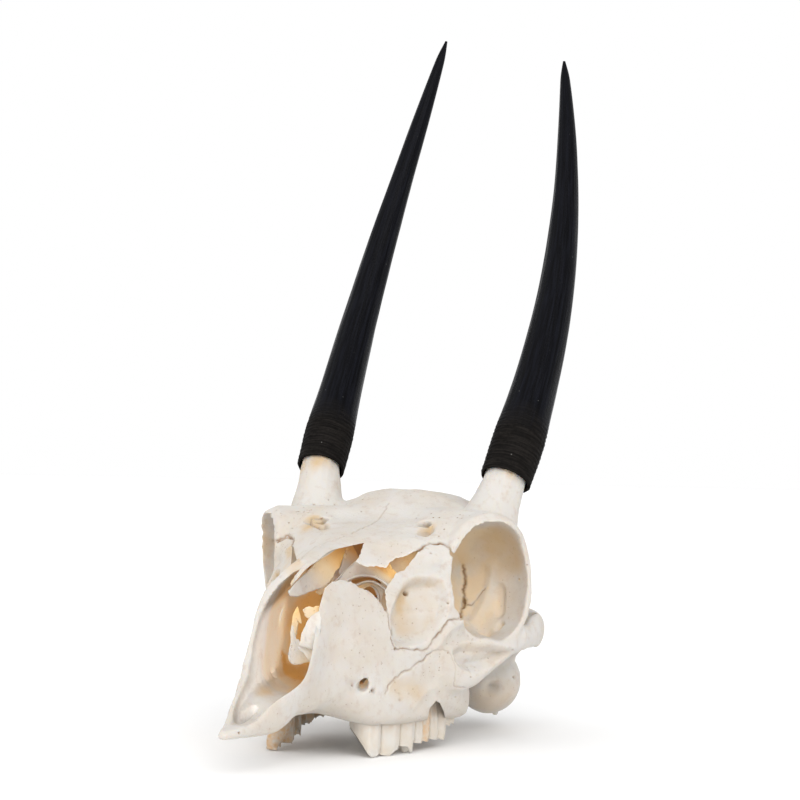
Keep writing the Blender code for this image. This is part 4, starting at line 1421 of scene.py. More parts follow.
PITTED_PLATE = (
    (290, 596), (288, 592), (292, 586), (299, 578), (306, 571), (312, 565), (320, 557), (327, 551.5),
    (333, 547.5), (340, 545.5), (345, 545), (344.5, 550), (341.5, 557), (340, 561), (337, 568.5),
    (332.8, 571.8), (330.3, 576.8), (326.7, 582.7), (320.3, 588), (310, 591.5), (303, 594.5), (296, 597),
)
FRONT_SLIP = (
    (346, 545), (351, 546), (354, 551), (357, 557), (356, 563), (350, 571), (345, 576), (341, 577),
    (338.5, 571), (341, 563), (342.3, 557.7), (344.5, 552),
)
SMALL_SLIP = (
    (336, 568), (341.5, 574), (337, 582), (328, 590), (320, 595), (316, 591), (323, 586), (329, 581.5),
    (332, 577), (334.5, 573),
)
SIEVE_PLATE = (
    (334.5, 581.5), (339.5, 577), (343, 573), (350, 567), (356, 561.5), (362, 555), (375, 554),
    (388, 554), (390, 563), (393, 569), (398, 574), (403, 579), (397, 587), (389, 588), (386, 584.5),
    (381, 580.7), (375, 577.7), (368, 576.3), (362, 576.3), (356, 578), (351.5, 580), (352, 587),
    (343, 588), (335, 586),
)
ARCHED_PLATE = (
    (350, 594), (354, 587), (359, 584.5), (366, 582.5), (376, 584.5), (384, 589.5), (382.5, 596),
    (381.5, 602), (383, 612), (379, 612), (378, 599), (376, 592), (373.5, 588), (369.5, 586), (365, 588),
    (362, 591.5), (361, 598),
)
RAGGED_SLIP = (
    (303, 610), (307, 606.5), (312, 607.5), (318, 606), (321.5, 606), (321.5, 613), (316, 615),
    (310, 619), (305.5, 617),
)
GOLDEN_LOBE = (
    (297.6, 606.6), (294.8, 610.5), (292.6, 616), (292, 623.5), (291.2, 632), (290.5, 642), (294, 642),
    (294.2, 630), (294.6, 622), (295.4, 617), (297, 619), (299, 622.5), (301.5, 624), (301.6, 621),
    (300.3, 616), (299, 610.5),
)
WHITE_SCROLL = (
    (319, 611), (314.5, 613.5), (310, 617.5), (307, 622), (305, 627), (303, 631), (301, 635),
    (301.4, 637.5), (299.5, 643), (299, 644.5), (301, 646.5), (306, 647.5), (311, 649.5), (314, 650),
    (318, 640), (320.5, 630), (321, 618),
)
SCROLL_FRINGE = (
    (298, 646.5), (300, 650), (303, 653), (306, 656), (308.5, 659.5), (310, 662.5), (316, 661),
    (316, 650), (306, 648),
)
PINK_LEAF = (
    (290.3, 634), (290.8, 642.5), (289, 650), (288.2, 655), (289, 661), (292, 664), (295.5, 665),
    (300, 664.5), (305, 662.7), (310, 661.8), (320, 660), (326, 650), (320, 644), (308, 648), (303, 646),
    (300.5, 643), (298.5, 639.5), (296, 639.5), (294.5, 633), (293.4, 626), (292.6, 620), (291.4, 626),
)
REAR_WALL = (
    (380, 545), (402, 542), (424, 542), (428, 556), (418, 580), (398, 600), (392, 616), (378, 616),
    (380, 590), (383, 570),
)

# Name: (outline, point of its plane, normal, bulge, raggedness in pixels, then two pixels, each with how
# open the bone is there, which sets the painted shade between them)
NOSE_PLATES = {
    "pitted_plate": (PITTED_PLATE, (-1.5, -36, 42), LENGTHWISE, 0.8, 0.35, (300, 594), 0.36, (342, 556), 0.0),
    "front_slip": (FRONT_SLIP, (-0.5, -19, 46), LENGTHWISE, 0.5, 0.25, (343, 574), 0.4, (356, 552), 0.04),
    "small_slip": (SMALL_SLIP, (-3.0, -22, 41), LENGTHWISE, 0.3, 0.4, (339, 574), 0.24, (318, 592), 0.12),
    "sieve_plate": (SIEVE_PLATE, (6.0, -24, 43), CROSSWISE, 0.9, 0.25, (362, 578), 0.5, (374, 562), 0.02),
    "arched_plate": (ARCHED_PLATE, (6.0, -22, 39), CROSSWISE, 0.6, 0.3, (378, 590), 0.24, (360, 590), 0.08),
    "ragged_slip": (RAGGED_SLIP, (6.0, -52, 36), FORWARD, 0.4, 0.6, (310, 612), 0.18, (320, 608), 0.06),
    "golden_lobe": (GOLDEN_LOBE, (2.0, -52, 28), FORWARD, 0.3, 0.3, (291, 636), 0.16, (298, 608), 0.06),
    "white_scroll": (WHITE_SCROLL, (6.5, -57.5, 30), FORWARD, 1.0, 0.3, (310, 634), 0.48, (301, 648), 0.3),
    "scroll_fringe": (SCROLL_FRINGE, (6.0, -56.5, 26), FORWARD, 0.3, 0.7, (300, 650), 0.3, (312, 658), 0.2),
    "pink_leaf": (PINK_LEAF, (2.0, -52, 28), FORWARD, 0.8, 0.15, (293, 652), 0.3, (304, 662), 0.2),
    "rear_wall": (REAR_WALL, (12.0, -17, 43), CROSSWISE, 0.8, 0.3, (390, 566), 0.2, (404, 556), 0.08),
}

# Name: (line, point of its crosswise plane, half width and half height, how open it is, which sets its
# painted shade)
NOSE_RIBBONS = {
    "arc_1": (
        ((344, 583), (348, 580), (352, 578), (357, 576.4), (363, 575.6), (369, 575.8), (375, 577.2),
         (381, 580.3), (386, 584), (390, 588)), (6, -27, 41), (0.38, 0.8), 0.5),
    "arc_2": (
        ((352, 590), (356, 586), (360, 583.8), (365, 582), (371, 581.5), (376, 583), (381, 586),
         (386, 589.8), (390, 594)), (6, -25.5, 41), (0.36, 0.8), 0.46),
    "hole_lip": (
        ((371, 585.5), (374.5, 588), (377, 591), (378.3, 595), (379, 600), (379, 604)),
        (6, -23, 39), (0.32, 0.6), 0.36),
    "sieve_edge": (
        ((358, 560), (350, 567), (343, 573), (339.7, 577), (334, 582), (330, 586)),
        (3, -25.5, 43), (0.26, 0.5), 0.5),
}


def nose_plates():
    """Every plate, with painted shade: its openness runs evenly from one place to another, its tan_and_shade
    value turns it tan where it is closed, and its painted glow is stronger there.
    """
    made = []
    for seed, (name, row) in enumerate(NOSE_PLATES.items(), FIRST_PLATE_SEED):
        pixels, point, normal, bulge, jag, light_at, light, dark_at, dark = row
        obj = plate(f"nose_{name}", pixels, point, normal, bulge, jag, seed)
        start, end = np.array(light_at, float), np.array(dark_at, float)
        along = end - start
        share = np.clip((seen_at(points_of(obj.data)) - start) @ along / (along @ along), 0, 1)
        sky = light + (dark - light) * share
        paint(obj.data, "open", sky)
        paint(obj.data, "tan_and_shade", 0.4 * (1 - ease(sky / 0.3)))
        paint(obj.data, "painted_glow", 0.12 + 0.12 * (1 - ease(sky / 0.4)))
        made.append(obj)
    return made


def nose_ribbons():
    """Every ribbon, as open all over as its row says, which sets its painted shade."""
    made = []
    for seed, (name, (pixels, point, radii, sky)) in enumerate(NOSE_RIBBONS.items(), FIRST_RIBBON_SEED):
        obj = ribbon(f"nose_{name}", pixels, point, radii, seed)
        paint(obj.data, "open", np.full(len(obj.data.vertices), sky))
        made.append(obj)
    return made


# Stems that carry a free plate, in metres: how far they reach, their roots, radius and spacing
STEM_REACH = 0.0035
STEM_ROOT = 0.0004
STEM_RADIUS = 0.0003
STEM_SPACING = 0.0022
# Plates that stand free and what carries each of them
CARRIED_BY = (
    ("nose_front_slip", "nose_pitted_plate"), ("nose_small_slip", "nose_sieve_edge"),
    ("nose_pink_leaf", "cranium_bone"), ("nose_ragged_slip", "cranium_bone"),
    ("nose_arched_plate", "nose_rear_wall"),
)


def add_stems(obj, carrier):
    """Joins a plate, in metres, to its carrier with two short stems where the two come nearest."""
    tree = tree_of(carrier)
    points = points_of(obj.data)
    nearest = [tree.find_nearest(Vector(point)) for point in points]
    gaps = np.array([hit[3] for hit in nearest])
    shape = bmesh.new()
    shape.from_mesh(obj.data)
    shape.verts.ensure_lookup_table()
    for _ in range(2):
        i = int(np.argmin(gaps))
        if gaps[i] > STEM_REACH:
            break
        start, end = points[i], np.array(nearest[i][0])
        ahead = (end - start) / max(gaps[i], 1e-9)
        up = (1, 0, 0) if abs(ahead[2]) > 0.8 else (0, 0, 1)
        painted = [(layer, shape.verts[i][layer]) for layer in shape.verts.layers.float.values()]
        count = len(shape.verts)
        ends = (start - ahead * STEM_ROOT, (start + end) / 2, end + ahead * STEM_ROOT)
        sweep(shape, ends, [(STEM_RADIUS * f,) * 2 for f in (1.5, 0.9, 1.6)], around=10, per_span=5, up=up)
        shape.verts.ensure_lookup_table()
        for vertex in shape.verts[count:]:
            for layer, value in painted:
                vertex[layer] = value
        gaps[np.linalg.norm(points - start, axis=1) < STEM_SPACING] = 1.0
    shape.to_mesh(obj.data)
    shape.free()


# Teeth

def crown_height(key, side, x, y, cheek):
    """How low the worn face lies: the crown's edge at the cheek, rising by the wear slope to the tongue."""
    front, back, _, _, width, lobes, _, wear = TEETH[key]
    if side == "right":
        wear = RIGHT_WEAR
    share = (y - front) / (back - front)
    level_part = 0.1 if lobes == 1 and wear > 1 else 0.45
    rise = wear * max(0.0, cheek - level_part * width - x)
    if side == "right":
        rise += 0.1 * (y - FIRST_TOOTH_Y) + 0.7 * abs(math.sin(1.15 * (y - FIRST_TOOTH_Y)))
        rise += 1.6 * math.exp(-((cheek - 1.9 - x) / 0.7) ** 2)
    return by_share(CROWN_EDGES[key], share) + rise


def narrowed(plan, key, side, cheek, t):
    """The first right tooth is worn to a narrow blade on its cheek side; t runs from its edge to the gum."""
    if side == "left" or key != "premolar_2":
        return plan
    share = 0.58 + 0.42 * float(ease(t * 1.3))
    return np.column_stack([cheek - (cheek - plan[:, 0]) * share, plan[:, 1]])


def tooth_rings(key, side, plan, cheek):
    """A tooth's rings: over the worn face, up the ribbed crown, then up the grooved root into the jaw."""
    front, back, _, _, width, lobes, _, _ = TEETH[key]
    middle = plan.mean(axis=0)
    share = (plan[:, 1] - front) / (back - front)
    outward = np.clip((plan[:, 0] - middle[0]) / (width * 0.5), -1, 1)
    rib = np.abs(np.cos(math.pi * share * lobes * 2)) ** 3 * RIB_HEIGHT * np.clip(outward, 0, 1)
    groove = np.cos(2 * math.pi * share * lobes * 1.5) * GROOVE_DEPTH
    edge = narrowed(plan, key, side, cheek, 0.0)
    worn = np.array([crown_height(key, side, x, y, cheek) for x, y in edge])
    away = plan - middle
    away /= np.linalg.norm(away, axis=1)[:, None]
    rings = []
    for scale, rise in FACE_RINGS[::-1]:
        flat = narrowed(middle + (plan - middle) * scale, key, side, cheek, 0.0)
        heights = np.array([crown_height(key, side, x, y, cheek) for x, y in flat]) + rise
        rings.append(np.column_stack([flat, heights]))
    for t in np.linspace(0, 1, CROWN_RINGS):
        grow = -0.3 * (1 - ease(t * 4.0)) - 0.1 + (rib + groove) * (0.3 + 0.7 * t)
        wall = narrowed(plan + away * grow[:, None], key, side, cheek, t)
        rings.append(np.column_stack([wall, worn + (GUM_Z - worn) * t]))
    for t in np.linspace(0.1, 1, ROOT_RINGS):
        split = 0.9 * t * np.exp(-((share - 0.5) / 0.12) ** 2)
        grow = -0.1 + (rib + groove) - split - 0.9 * t
        heights = np.full(len(plan), GUM_Z + (SOCKET_TOP_Z - GUM_Z) * t)
        rings.append(np.column_stack([plan + away * grow[:, None], heights]))
    return rings


def tooth_stain(key, side, points, cheek, streak):
    """How brown a tooth is: streaked on its crown, darker at its neck and on its inner side."""
    neck = ease((points[:, 2] - 4.0) / 5.0)
    inner = ease((cheek - np.abs(points[:, 0]) - 1.0) / 4.0) * (points[:, 2] < 4.5)
    base = 1.6 if side == "right" else 0.08
    if key == "molar_1" and side == "left":
        base = 0.08 + 1.8 * ease((points[:, 1] + 18.6) / 1.2)
    return np.clip(base * (0.55 + 0.6 * streak) + 0.35 * neck + 0.5 * inner, 0, 1)


def tooth_piece(key, side):
    """One cheek tooth, a little uneven, and cut level at the ground."""
    plan = tooth_outline(TEETH[key], 20, 0.0)
    cheek = plan[:, 0].max()
    shape = bmesh.new()
    skin(shape, tooth_rings(key, side, plan, cheek))
    if side == "right":
        bmesh.ops.scale(shape, vec=(-1, 1, 1), verts=shape.verts)
    obj = object_from(shape, f"{key}_{side}_tooth")
    mesh = obj.data
    points, normals = points_of(mesh), normals_of(mesh)
    streak = ripple(points * (1.6, 1.6, 0.25), 1.0, TOOTH_SEED)
    lift = streak * 0.05 + ripple(points, 2.2, TOOTH_SEED + 1) * 0.08
    points = points + normals * lift[:, None]
    points[:, 2] = np.maximum(points[:, 2], 0.0)
    move_points(mesh, points)
    paint(mesh, "stain", tooth_stain(key, side, points, cheek, streak))
    return obj


# Horns

def horn_axes(curve, t):
    """Two directions square to the horn's curve at t: across, and toward its front or back."""
    step = 0.004
    ahead = unit(bezier(curve, min(1, t + step)) - bezier(curve, max(0, t - step)))
    across = unit(np.cross(ahead, (0, -1, 0)))
    return across, np.cross(across, ahead)


# Rings of the sheath as (from, to, how many): its inside over the core, then its outside up to the tip
SHEATH_INSIDE = (CORE_REACH * 0.5, 0, 12)
SHEATH_OUTSIDE = ((0, 0.16, 110), (0.163, 0.97, 190), (0.975, 1, 12))
HORN_SEEDS = {"left": 70, "right": 80}
SHEATH_AROUND = 96


def horn_surface(side, settings, length):
    """A function that gives one ring of the sheath: ringed and dull at its base, fluted above."""
    curve = HORNS[side]
    seed = HORN_SEEDS[side]
    turns = turns_of(SHEATH_AROUND)

    def ring(t, relief, radius):
        """The ring at t along the curve, from 0 to 1, with this much of the relief."""
        across, top = horn_axes(curve, t)
        spot = np.stack([np.cos(turns) * 6, np.sin(turns) * 6, np.full(SHEATH_AROUND, t * length)], axis=1)
        base = 1 - ease((t * length - settings.ring_reach * 0.75) / (settings.ring_reach * 0.4))
        wave = t * length + ripple(spot, 5.0, seed) * 0.5
        bands = np.sin(wave * 2 * math.pi / settings.ring_spacing) * 0.07
        bands = bands + ripple(spot * (1, 1, 3.0), 1.1, seed + 1) * 0.07
        flutes = ripple(spot * (1, 1, 0.05), 1.5, seed + 2) * 0.09
        flutes = flutes + ripple(spot * (1, 1, 0.12), 0.7, seed + 3) * 0.035
        facets = np.cos(turns * 3 + 0.8) * 0.09 + ripple(spot * (1, 1, 0.25), 6.0, seed + 4) * 0.14
        slim = min(1.0, radius / 4.0)
        lift = relief * (bands * base * 1.3 + (flutes * (1 - 0.6 * base) + facets) * slim)
        if t == 0:
            lift = lift - 0.15
        out = (radius + lift)[:, None]
        ragged = relief * (1 - ease(t * length / 2.5)) * ripple(spot, 2.2, seed + 5) * 0.35
        outward = np.cos(turns)[:, None] * across + np.sin(turns)[:, None] * top
        return bezier(curve, t) + out * outward - ragged[:, None] * np.cross(across, top)

    return ring


def horn_piece(side, settings):
    """A hollow sheath, with its place along and around it painted on for the fibres."""
    curve = HORNS[side]
    full = HORN_FULLNESS[side]
    steps = np.diff([bezier(curve, t) for t in np.linspace(0, 1, 60)], axis=0)
    length = np.linalg.norm(steps, axis=1).sum()
    radii = through([(t * 100, r) for t, r in HORN_RADIUS], 6)
    ring = horn_surface(side, settings, length)
    inside = np.linspace(*SHEATH_INSIDE)
    outside = np.concatenate([np.linspace(*span) for span in SHEATH_OUTSIDE])
    rings = []
    for t in inside:
        rings.append(ring(t, 0.0, by_share(CORE_RADIUS, t) * full + 0.4 + 0.3 * (t == 0)))
    for t in outside:
        radius = float(np.interp(t * 100, radii[:, 0], radii[:, 1])) * full
        rings.append(ring(t, settings.relief, radius))
    shape = bmesh.new()
    skin(shape, rings)
    obj = object_from(shape, f"horn_{side}")
    marks = np.concatenate([inside, outside])
    turns = turns_of(SHEATH_AROUND)
    along = np.concatenate([np.repeat(marks, SHEATH_AROUND) * length, [marks[0] * length, length]])
    turn = np.concatenate([np.tile(turns, len(rings)), [0, 0]])
    paint(obj.data, "along", along)
    paint(obj.data, "round_x", np.cos(turn))
    paint(obj.data, "round_y", np.sin(turn))
    return obj


# Materials

def fill_inputs(tree, made, inputs):
    """Feeds a node's inputs: a socket is linked, a plain value is set."""
    for key, value in inputs.items():
        if isinstance(value, bpy.types.NodeSocket):
            tree.links.new(value, made.inputs[key])
        else:
            made.inputs[key].default_value = value


def node(tree, kind, inputs=None, **settings):
    """Adds a shader node and fills its inputs."""
    made = tree.nodes.new(kind)
    for key, value in settings.items():
        setattr(made, key, value)
    fill_inputs(tree, made, inputs or {})
    return made


def new_material(name):
    """An empty material with its tree and its surface node."""
    made = bpy.data.materials.new(name)
    made.use_nodes = True
    return made, made.node_tree, made.node_tree.nodes["Principled BSDF"]


def number(tree, name):
    """The value that a piece stores per vertex under this name."""
    return node(tree, "ShaderNodeAttribute", attribute_name=name).outputs["Fac"]


def maths(tree, operation, a, b):
    """One sum of two values or sockets."""
    return node(tree, "ShaderNodeMath", {0: a, 1: b}, operation=operation).outputs[0]


def times(tree, a, b):
    """The product of two values or sockets."""
    return maths(tree, "MULTIPLY", a, b)


def blend(tree, share, a, b):
    """Colour a where the share is 0 and colour b where it is 1."""
    return node(tree, "ShaderNodeMix", {0: share, 6: a, 7: b}, data_type="RGBA").outputs[2]


def noise(tree, where, scale, detail=3.0, roughness=0.55):
    """Cloudy unevenness between 0 and 1."""
    inputs = {"Vector": where, "Scale": scale, "Detail": detail, "Roughness": roughness}
    return node(tree, "ShaderNodeTexNoise", inputs).outputs["Fac"]


def stretch(tree, value, low, high):
    """Maps low..high to 0..1, smoothly, and holds it there."""
    inputs = {"Value": value, "From Min": low, "From Max": high}
    made = node(tree, "ShaderNodeMapRange", inputs, interpolation_type="SMOOTHSTEP")
    return made.outputs["Result"]


def object_place(tree):
    """The place on the object itself, in metres."""
    return node(tree, "ShaderNodeTexCoord").outputs["Object"]


def pits(tree, where, scale, size, share):
    """Small round holes, in this share of the cells: 1 in a pit, 0 outside it."""
    cells = node(tree, "ShaderNodeTexVoronoi", {"Vector": where, "Scale": scale, "Randomness": 1.0})
    chance = node(tree, "ShaderNodeSeparateColor", {0: cells.outputs["Color"]}).outputs[0]
    hole = maths(tree, "SUBTRACT", 1.0, stretch(tree, cells.outputs["Distance"], size * 0.4, size))
    return times(tree, hole, maths(tree, "LESS_THAN", chance, share))


def bump(tree, strength, distance, height):
    """The surface's direction, as if it had this fine relief."""
    inputs = {"Strength": strength, "Distance": distance, "Height": height}
    return node(tree, "ShaderNodeBump", inputs).outputs["Normal"]


def bone_material(settings):
    """Dry bone: pale outside, with painted shade that makes sheltered places golden and darker, tan stains
    and more painted shade from the tan_and_shade value, a painted glow, stains, and dark pores.
    """
    made, tree, shader = new_material("dry_bone")
    where = object_place(tree)
    broad = noise(tree, where, 70.0)
    fine = noise(tree, where, 420.0, 5.0, 0.65)
    grain = noise(tree, where, 1900.0, 3.0, 0.6)
    surface = blend(tree, stretch(tree, broad, 0.35, 0.68), settings.pale, settings.cream)
    surface = blend(tree, times(tree, stretch(tree, fine, 0.5, 0.72), 0.6), surface, settings.rosy)
    # Painted shade: the less sky a place sees, the more golden and then deep orange its colour
    closed = maths(tree, "SUBTRACT", 1.0, stretch(tree, number(tree, "open"), 0.0, 0.36))
    shade_depth = maths(tree, "ADD", closed, times(tree, maths(tree, "SUBTRACT", broad, 0.5), 0.3))
    colour = blend(tree, stretch(tree, shade_depth, 0.05, 0.75), surface, settings.golden)
    colour = blend(tree, stretch(tree, shade_depth, 0.7, 1.15), colour, settings.deep)
    # Tan stains and painted shade, from the painted tan_and_shade value
    tan_and_shade = times(tree, number(tree, "tan_and_shade"), stretch(tree, broad, 0.2, 0.6))
    colour = blend(tree, tan_and_shade, colour, settings.tan)
    # Dark pores: painted shade in the small pits
    wide = times(tree, pits(tree, where, 600.0, 0.2, 0.36), number(tree, "pitted"))
    tiny = times(tree, pits(tree, where, 1200.0, 0.24, 0.3), stretch(tree, broad, 0.42, 0.66))
    pores = maths(tree, "MAXIMUM", wide, times(tree, tiny, 0.7))
    colour = blend(tree, times(tree, pores, 0.85), colour, settings.stain)
    # Stains along sutures and cracks, and painted shade in the small openings
    colour = blend(tree, number(tree, "stain"), colour, settings.stain)
    height = maths(tree, "ADD", times(tree, fine, 0.7), times(tree, grain, 0.35))
    height = maths(tree, "SUBTRACT", height, times(tree, pores, 1.2))
    fill_inputs(tree, shader, {
        "Base Color": colour,
        # Painted light: the painted_glow value makes the bone give off its own colour, though it is no lamp
        "Emission Color": colour,
        "Emission Strength": number(tree, "painted_glow"),
        "Normal": bump(tree, 0.8, 0.00028, height),
        "Roughness": 0.68,
        "Specular IOR Level": 0.2,
        "Subsurface Weight": 0.35,
        "Subsurface Radius": (1.0, 0.66, 0.36),
        "Subsurface Scale": 0.0022,
    })
    return made


def tooth_material(settings):
    """Enamel that darkens toward the jaw, with brown streaks."""
    made, tree, shader = new_material("tooth_enamel")
    where = object_place(tree)
    broad = noise(tree, where, 160.0)
    fine = noise(tree, where, 700.0, 4.0)
    colour = blend(tree, stretch(tree, broad, 0.35, 0.7), settings.enamel, settings.neck)
    brown = times(tree, number(tree, "stain"), stretch(tree, fine, 0.2, 0.75))
    fill_inputs(tree, shader, {
        "Base Color": blend(tree, brown, colour, settings.tartar),
        "Normal": bump(tree, 0.35, 0.00015, fine),
        "Roughness": stretch(tree, fine, -0.6, 1.6),
        "Subsurface Weight": 0.1,
        "Subsurface Radius": (1.0, 0.7, 0.5),
        "Subsurface Scale": 0.0008,
    })
    return made


def horn_place(tree, round_scale, along_scale):
    """A place on the sheath for its patterns: round it in x and y, along it in z."""
    return node(tree, "ShaderNodeCombineXYZ", {
        "X": times(tree, number(tree, "round_x"), round_scale),
        "Y": times(tree, number(tree, "round_y"), round_scale),
        "Z": times(tree, number(tree, "along"), along_scale),
    }).outputs[0]


def horn_material(settings):
    """Polished black keratin with long fibres, dull and flaky over its ringed base."""
    made, tree, shader = new_material("horn_keratin")
    even_place = horn_place(tree, 6.0, 1.0)
    fibres = noise(tree, horn_place(tree, 6.0, 0.06), 1.4, 5.0, 0.6)
    scales = noise(tree, even_place, 1.3, 5.0, 0.7)
    blotch = noise(tree, even_place, 0.16, 3.0)
    rings = noise(tree, horn_place(tree, 1.0, 2.6), 1.0, 3.0, 0.6)
    reach = maths(tree, "ADD", number(tree, "along"), times(tree, blotch, 9.0))
    polished = stretch(tree, reach, settings.ring_reach - 1.0, settings.ring_reach + 9.0)
    dull = maths(tree, "SUBTRACT", 1.0, polished)
    colour = blend(tree, stretch(tree, fibres, 0.35, 0.75), settings.black, settings.sheen_blue)
    flakes = maths(tree, "ADD", times(tree, rings, 0.75), times(tree, scales, 0.25))
    rough_base = blend(tree, stretch(tree, flakes, 0.42, 0.66), settings.base_dark, settings.base_brown)
    colour = blend(tree, dull, colour, rough_base)
    specks = times(tree, pits(tree, even_place, 0.55, 0.1, 0.4), stretch(tree, blotch, 0.5, 0.66))
    colour = blend(tree, times(tree, specks, 0.5), colour, settings.speck)
    gloss = maths(tree, "ADD", 0.22, times(tree, stretch(tree, fibres, 0.3, 0.8), 0.2))
    height = maths(tree, "ADD", times(tree, fibres, 0.6), times(tree, scales, 0.6))
    fill_inputs(tree, shader, {
        "Base Color": colour,
        "Roughness": maths(tree, "ADD", gloss, times(tree, dull, 0.36)),
        "Normal": bump(tree, 0.6, 0.00025, height),
        "Specular IOR Level": 0.05,
    })
    return made


def studio_material(settings):
    """A white ground with barely darker clouds."""
    made, tree, shader = new_material("studio_white")
    cloudy = noise(tree, object_place(tree), 3.0)
    fill_inputs(tree, shader, {
        "Base Color": blend(tree, stretch(tree, cloudy, 0.3, 0.7), settings.floor, settings.floor_low),
        "Roughness": 0.9,
        "Specular IOR Level": 0.1,
    })
    return made


# Sizes and colours that a user would change

def colour_property(name, description, default):
    """A colour that the panel shows."""
    return FloatVectorProperty(
        name=name, description=description, default=default, size=4, min=0.0, max=1.0, subtype="COLOR")


def amount_property(name, description, default, low, high):
    """A number that the panel shows, with its limits."""
    return FloatProperty(name=name, description=description, default=default, min=low, max=high)


class SkullBoneSettings(bpy.types.PropertyGroup):
    """The bone's surface and colours"""
    relief: amount_property("Relief", "How uneven the bone's surface is, as a factor", 1.0, 0.0, 3.0)
    suture_edge: amount_property(
        "Suture detail", "Length of a mesh edge beside a suture, in millimetres", 0.26, 0.1, 1.0)
    kept: IntProperty(
        name="Faces kept", description="Triangles that the bone keeps before the sutures are cut",
        default=118000, min=20000, max=170000)
    pale: colour_property("Pale bone", "Bleached bone", (0.59, 0.565, 0.53, 1.0))
    cream: colour_property("Cream bone", "Bone with a little fat left in it", (0.565, 0.515, 0.455, 1.0))
    rosy: colour_property("Rosy bone", "Fine mottling on the bone", (0.50, 0.42, 0.36, 1.0))
    # Golden and deep are the colours of the painted shade in sheltered places and hollows
    golden: colour_property("Golden bone", "Sheltered bone in nose and orbit", (0.72, 0.57, 0.38, 1.0))
    deep: colour_property("Deep bone", "The darkest hollows", (0.80, 0.41, 0.075, 1.0))
    # Tan is the colour of the stains and of the painted shade under rims and in hollows
    tan: colour_property("Tan bone", "Painted warm places", (0.545, 0.365, 0.17, 1.0))
    # The stain colour also darkens the small openings and the pores as painted shade
    stain: colour_property("Stain", "Sutures, cracks and pores", (0.24, 0.12, 0.04, 1.0))


class SkullToothSettings(bpy.types.PropertyGroup):
    """The teeth's colours"""
    enamel: colour_property("Enamel", "Clean crowns", (0.62, 0.59, 0.545, 1.0))
    neck: colour_property("Neck", "Crowns near the jaw", (0.60, 0.545, 0.465, 1.0))
    tartar: colour_property("Tartar", "Brown streaks and roots", (0.62, 0.40, 0.21, 1.0))


class SkullHornSettings(bpy.types.PropertyGroup):
    """The horns' rings and colours"""
    relief: amount_property("Relief", "How strongly rings and flutes stand out, as a factor", 1.0, 0.0, 3.0)
    ring_reach: amount_property(
        "Ringed length", "Length of the dull, ringed base in millimetres", 15.0, 2.0, 60.0)
    ring_spacing: amount_property("Ring spacing", "Distance between two rings in millimetres", 1.1, 0.4, 5.0)
    black: colour_property("Black", "Polished keratin", (0.0022, 0.0022, 0.003, 1.0))
    sheen_blue: colour_property("Blue black", "Fibres that catch the light", (0.006, 0.0065, 0.010, 1.0))
    base_dark: colour_property("Base, dark", "The dull base in its hollows", (0.0045, 0.0038, 0.0034, 1.0))
    base_brown: colour_property("Base, brown", "The base where it flakes", (0.015, 0.0128, 0.0112, 1.0))
    speck: colour_property("Specks", "Small pale flecks", (0.22, 0.22, 0.20, 1.0))


class SkullStudioSettings(bpy.types.PropertyGroup):
    """The ground and the light"""
    floor: colour_property("Floor", "The pale floor and backdrop", (0.97, 0.97, 0.97, 1.0))
    floor_low: colour_property("Floor, shaded", "A barely darker cloud in the floor", (0.96, 0.96, 0.96, 1.0))
    key_strength: amount_property(
        "Key light", "Strength of the large soft light from above", 1.75, 0.0, 100.0)
    fill_strength: amount_property(
        "Fill light", "Strength of the even light from the other side", 0.8, 0.0, 100.0)
    backdrop: amount_property("Backdrop", "Brightness of the backdrop behind the skull", 1.0, 0.0, 5.0)
    room: amount_property(
        "Room", "Brightness of the even light from overhead and in front", 0.74, 0.0, 5.0)


# Operators

class SKULL_OT_cranium(bpy.types.Operator):
    """Builds the bone: cranium and horn cores in one piece"""
    bl_idname = "skull.cranium"
    bl_label = "Cranium"

    def execute(self, context):
        settings = context.scene.skull_bone
        head = head_body(FINE_VOXELS)
        carve(head, settings)
        broken_edges(head)
        thin(head, settings.kept)
        engrave(head, settings)
        paint_depth(head, openness(head, SKY_RAYS))
        paint_places(head)
        head.data.set_sharp_from_angle(angle=math.radians(SHARP_ANGLE))
        finish_piece(head, bone_material(settings), ["cranium"])
        return {"FINISHED"}


class SKULL_OT_nose(bpy.types.Operator):
    """Builds the thin plates and scrolls inside the nose"""
    bl_idname = "skull.nose"
    bl_label = "Nose plates"

    def execute(self, context):
        material = bpy.data.materials["dry_bone"]
        for obj in nose_plates() + nose_ribbons():
            finish_piece(obj, material, [])
        for name, carrier in CARRIED_BY:
            add_stems(bpy.data.objects[name], bpy.data.objects[carrier])
        return {"FINISHED"}


class SKULL_OT_teeth(bpy.types.Operator):
    """Builds the twelve cheek teeth"""
    bl_idname = "skull.teeth"
    bl_label = "Teeth"

    def execute(self, context):
        material = tooth_material(context.scene.skull_teeth)
        for side in ("left", "right"):
            for key in TOOTH_NAMES:
                finish_piece(tooth_piece(key, side), material, [f"{key}_{side}"])
        return {"FINISHED"}


class SKULL_OT_horns(bpy.types.Operator):
    """Builds the two horn sheaths"""
    bl_idname = "skull.horns"
    bl_label = "Horns"

    def execute(self, context):
        settings = context.scene.skull_horns
        material = horn_material(settings)
        for side in ("left", "right"):
            finish_piece(horn_piece(side, settings), material, [f"horn_sheath_{side}"])
        return {"FINISHED"}


# Where each light comes from, and how wide it looks, in degrees
KEY_FROM = (0.48, -0.70, 0.50)
KEY_SPREAD = 50
FILL_FROM = (-0.45, -0.75, 0.48)
FILL_SPREAD = 100
SENSOR_WIDTH = 36.0


def soft_light(name, direction, strength, spread):
    """A broad, soft light from this direction."""
    lamp = bpy.data.objects.new(name, bpy.data.lights.new(name, "SUN"))
    lamp.data.energy = strength
    lamp.data.angle = math.radians(spread)
    lamp.rotation_euler = Vector(direction).to_track_quat("Z", "Y").to_euler()
    bpy.context.scene.collection.objects.link(lamp)


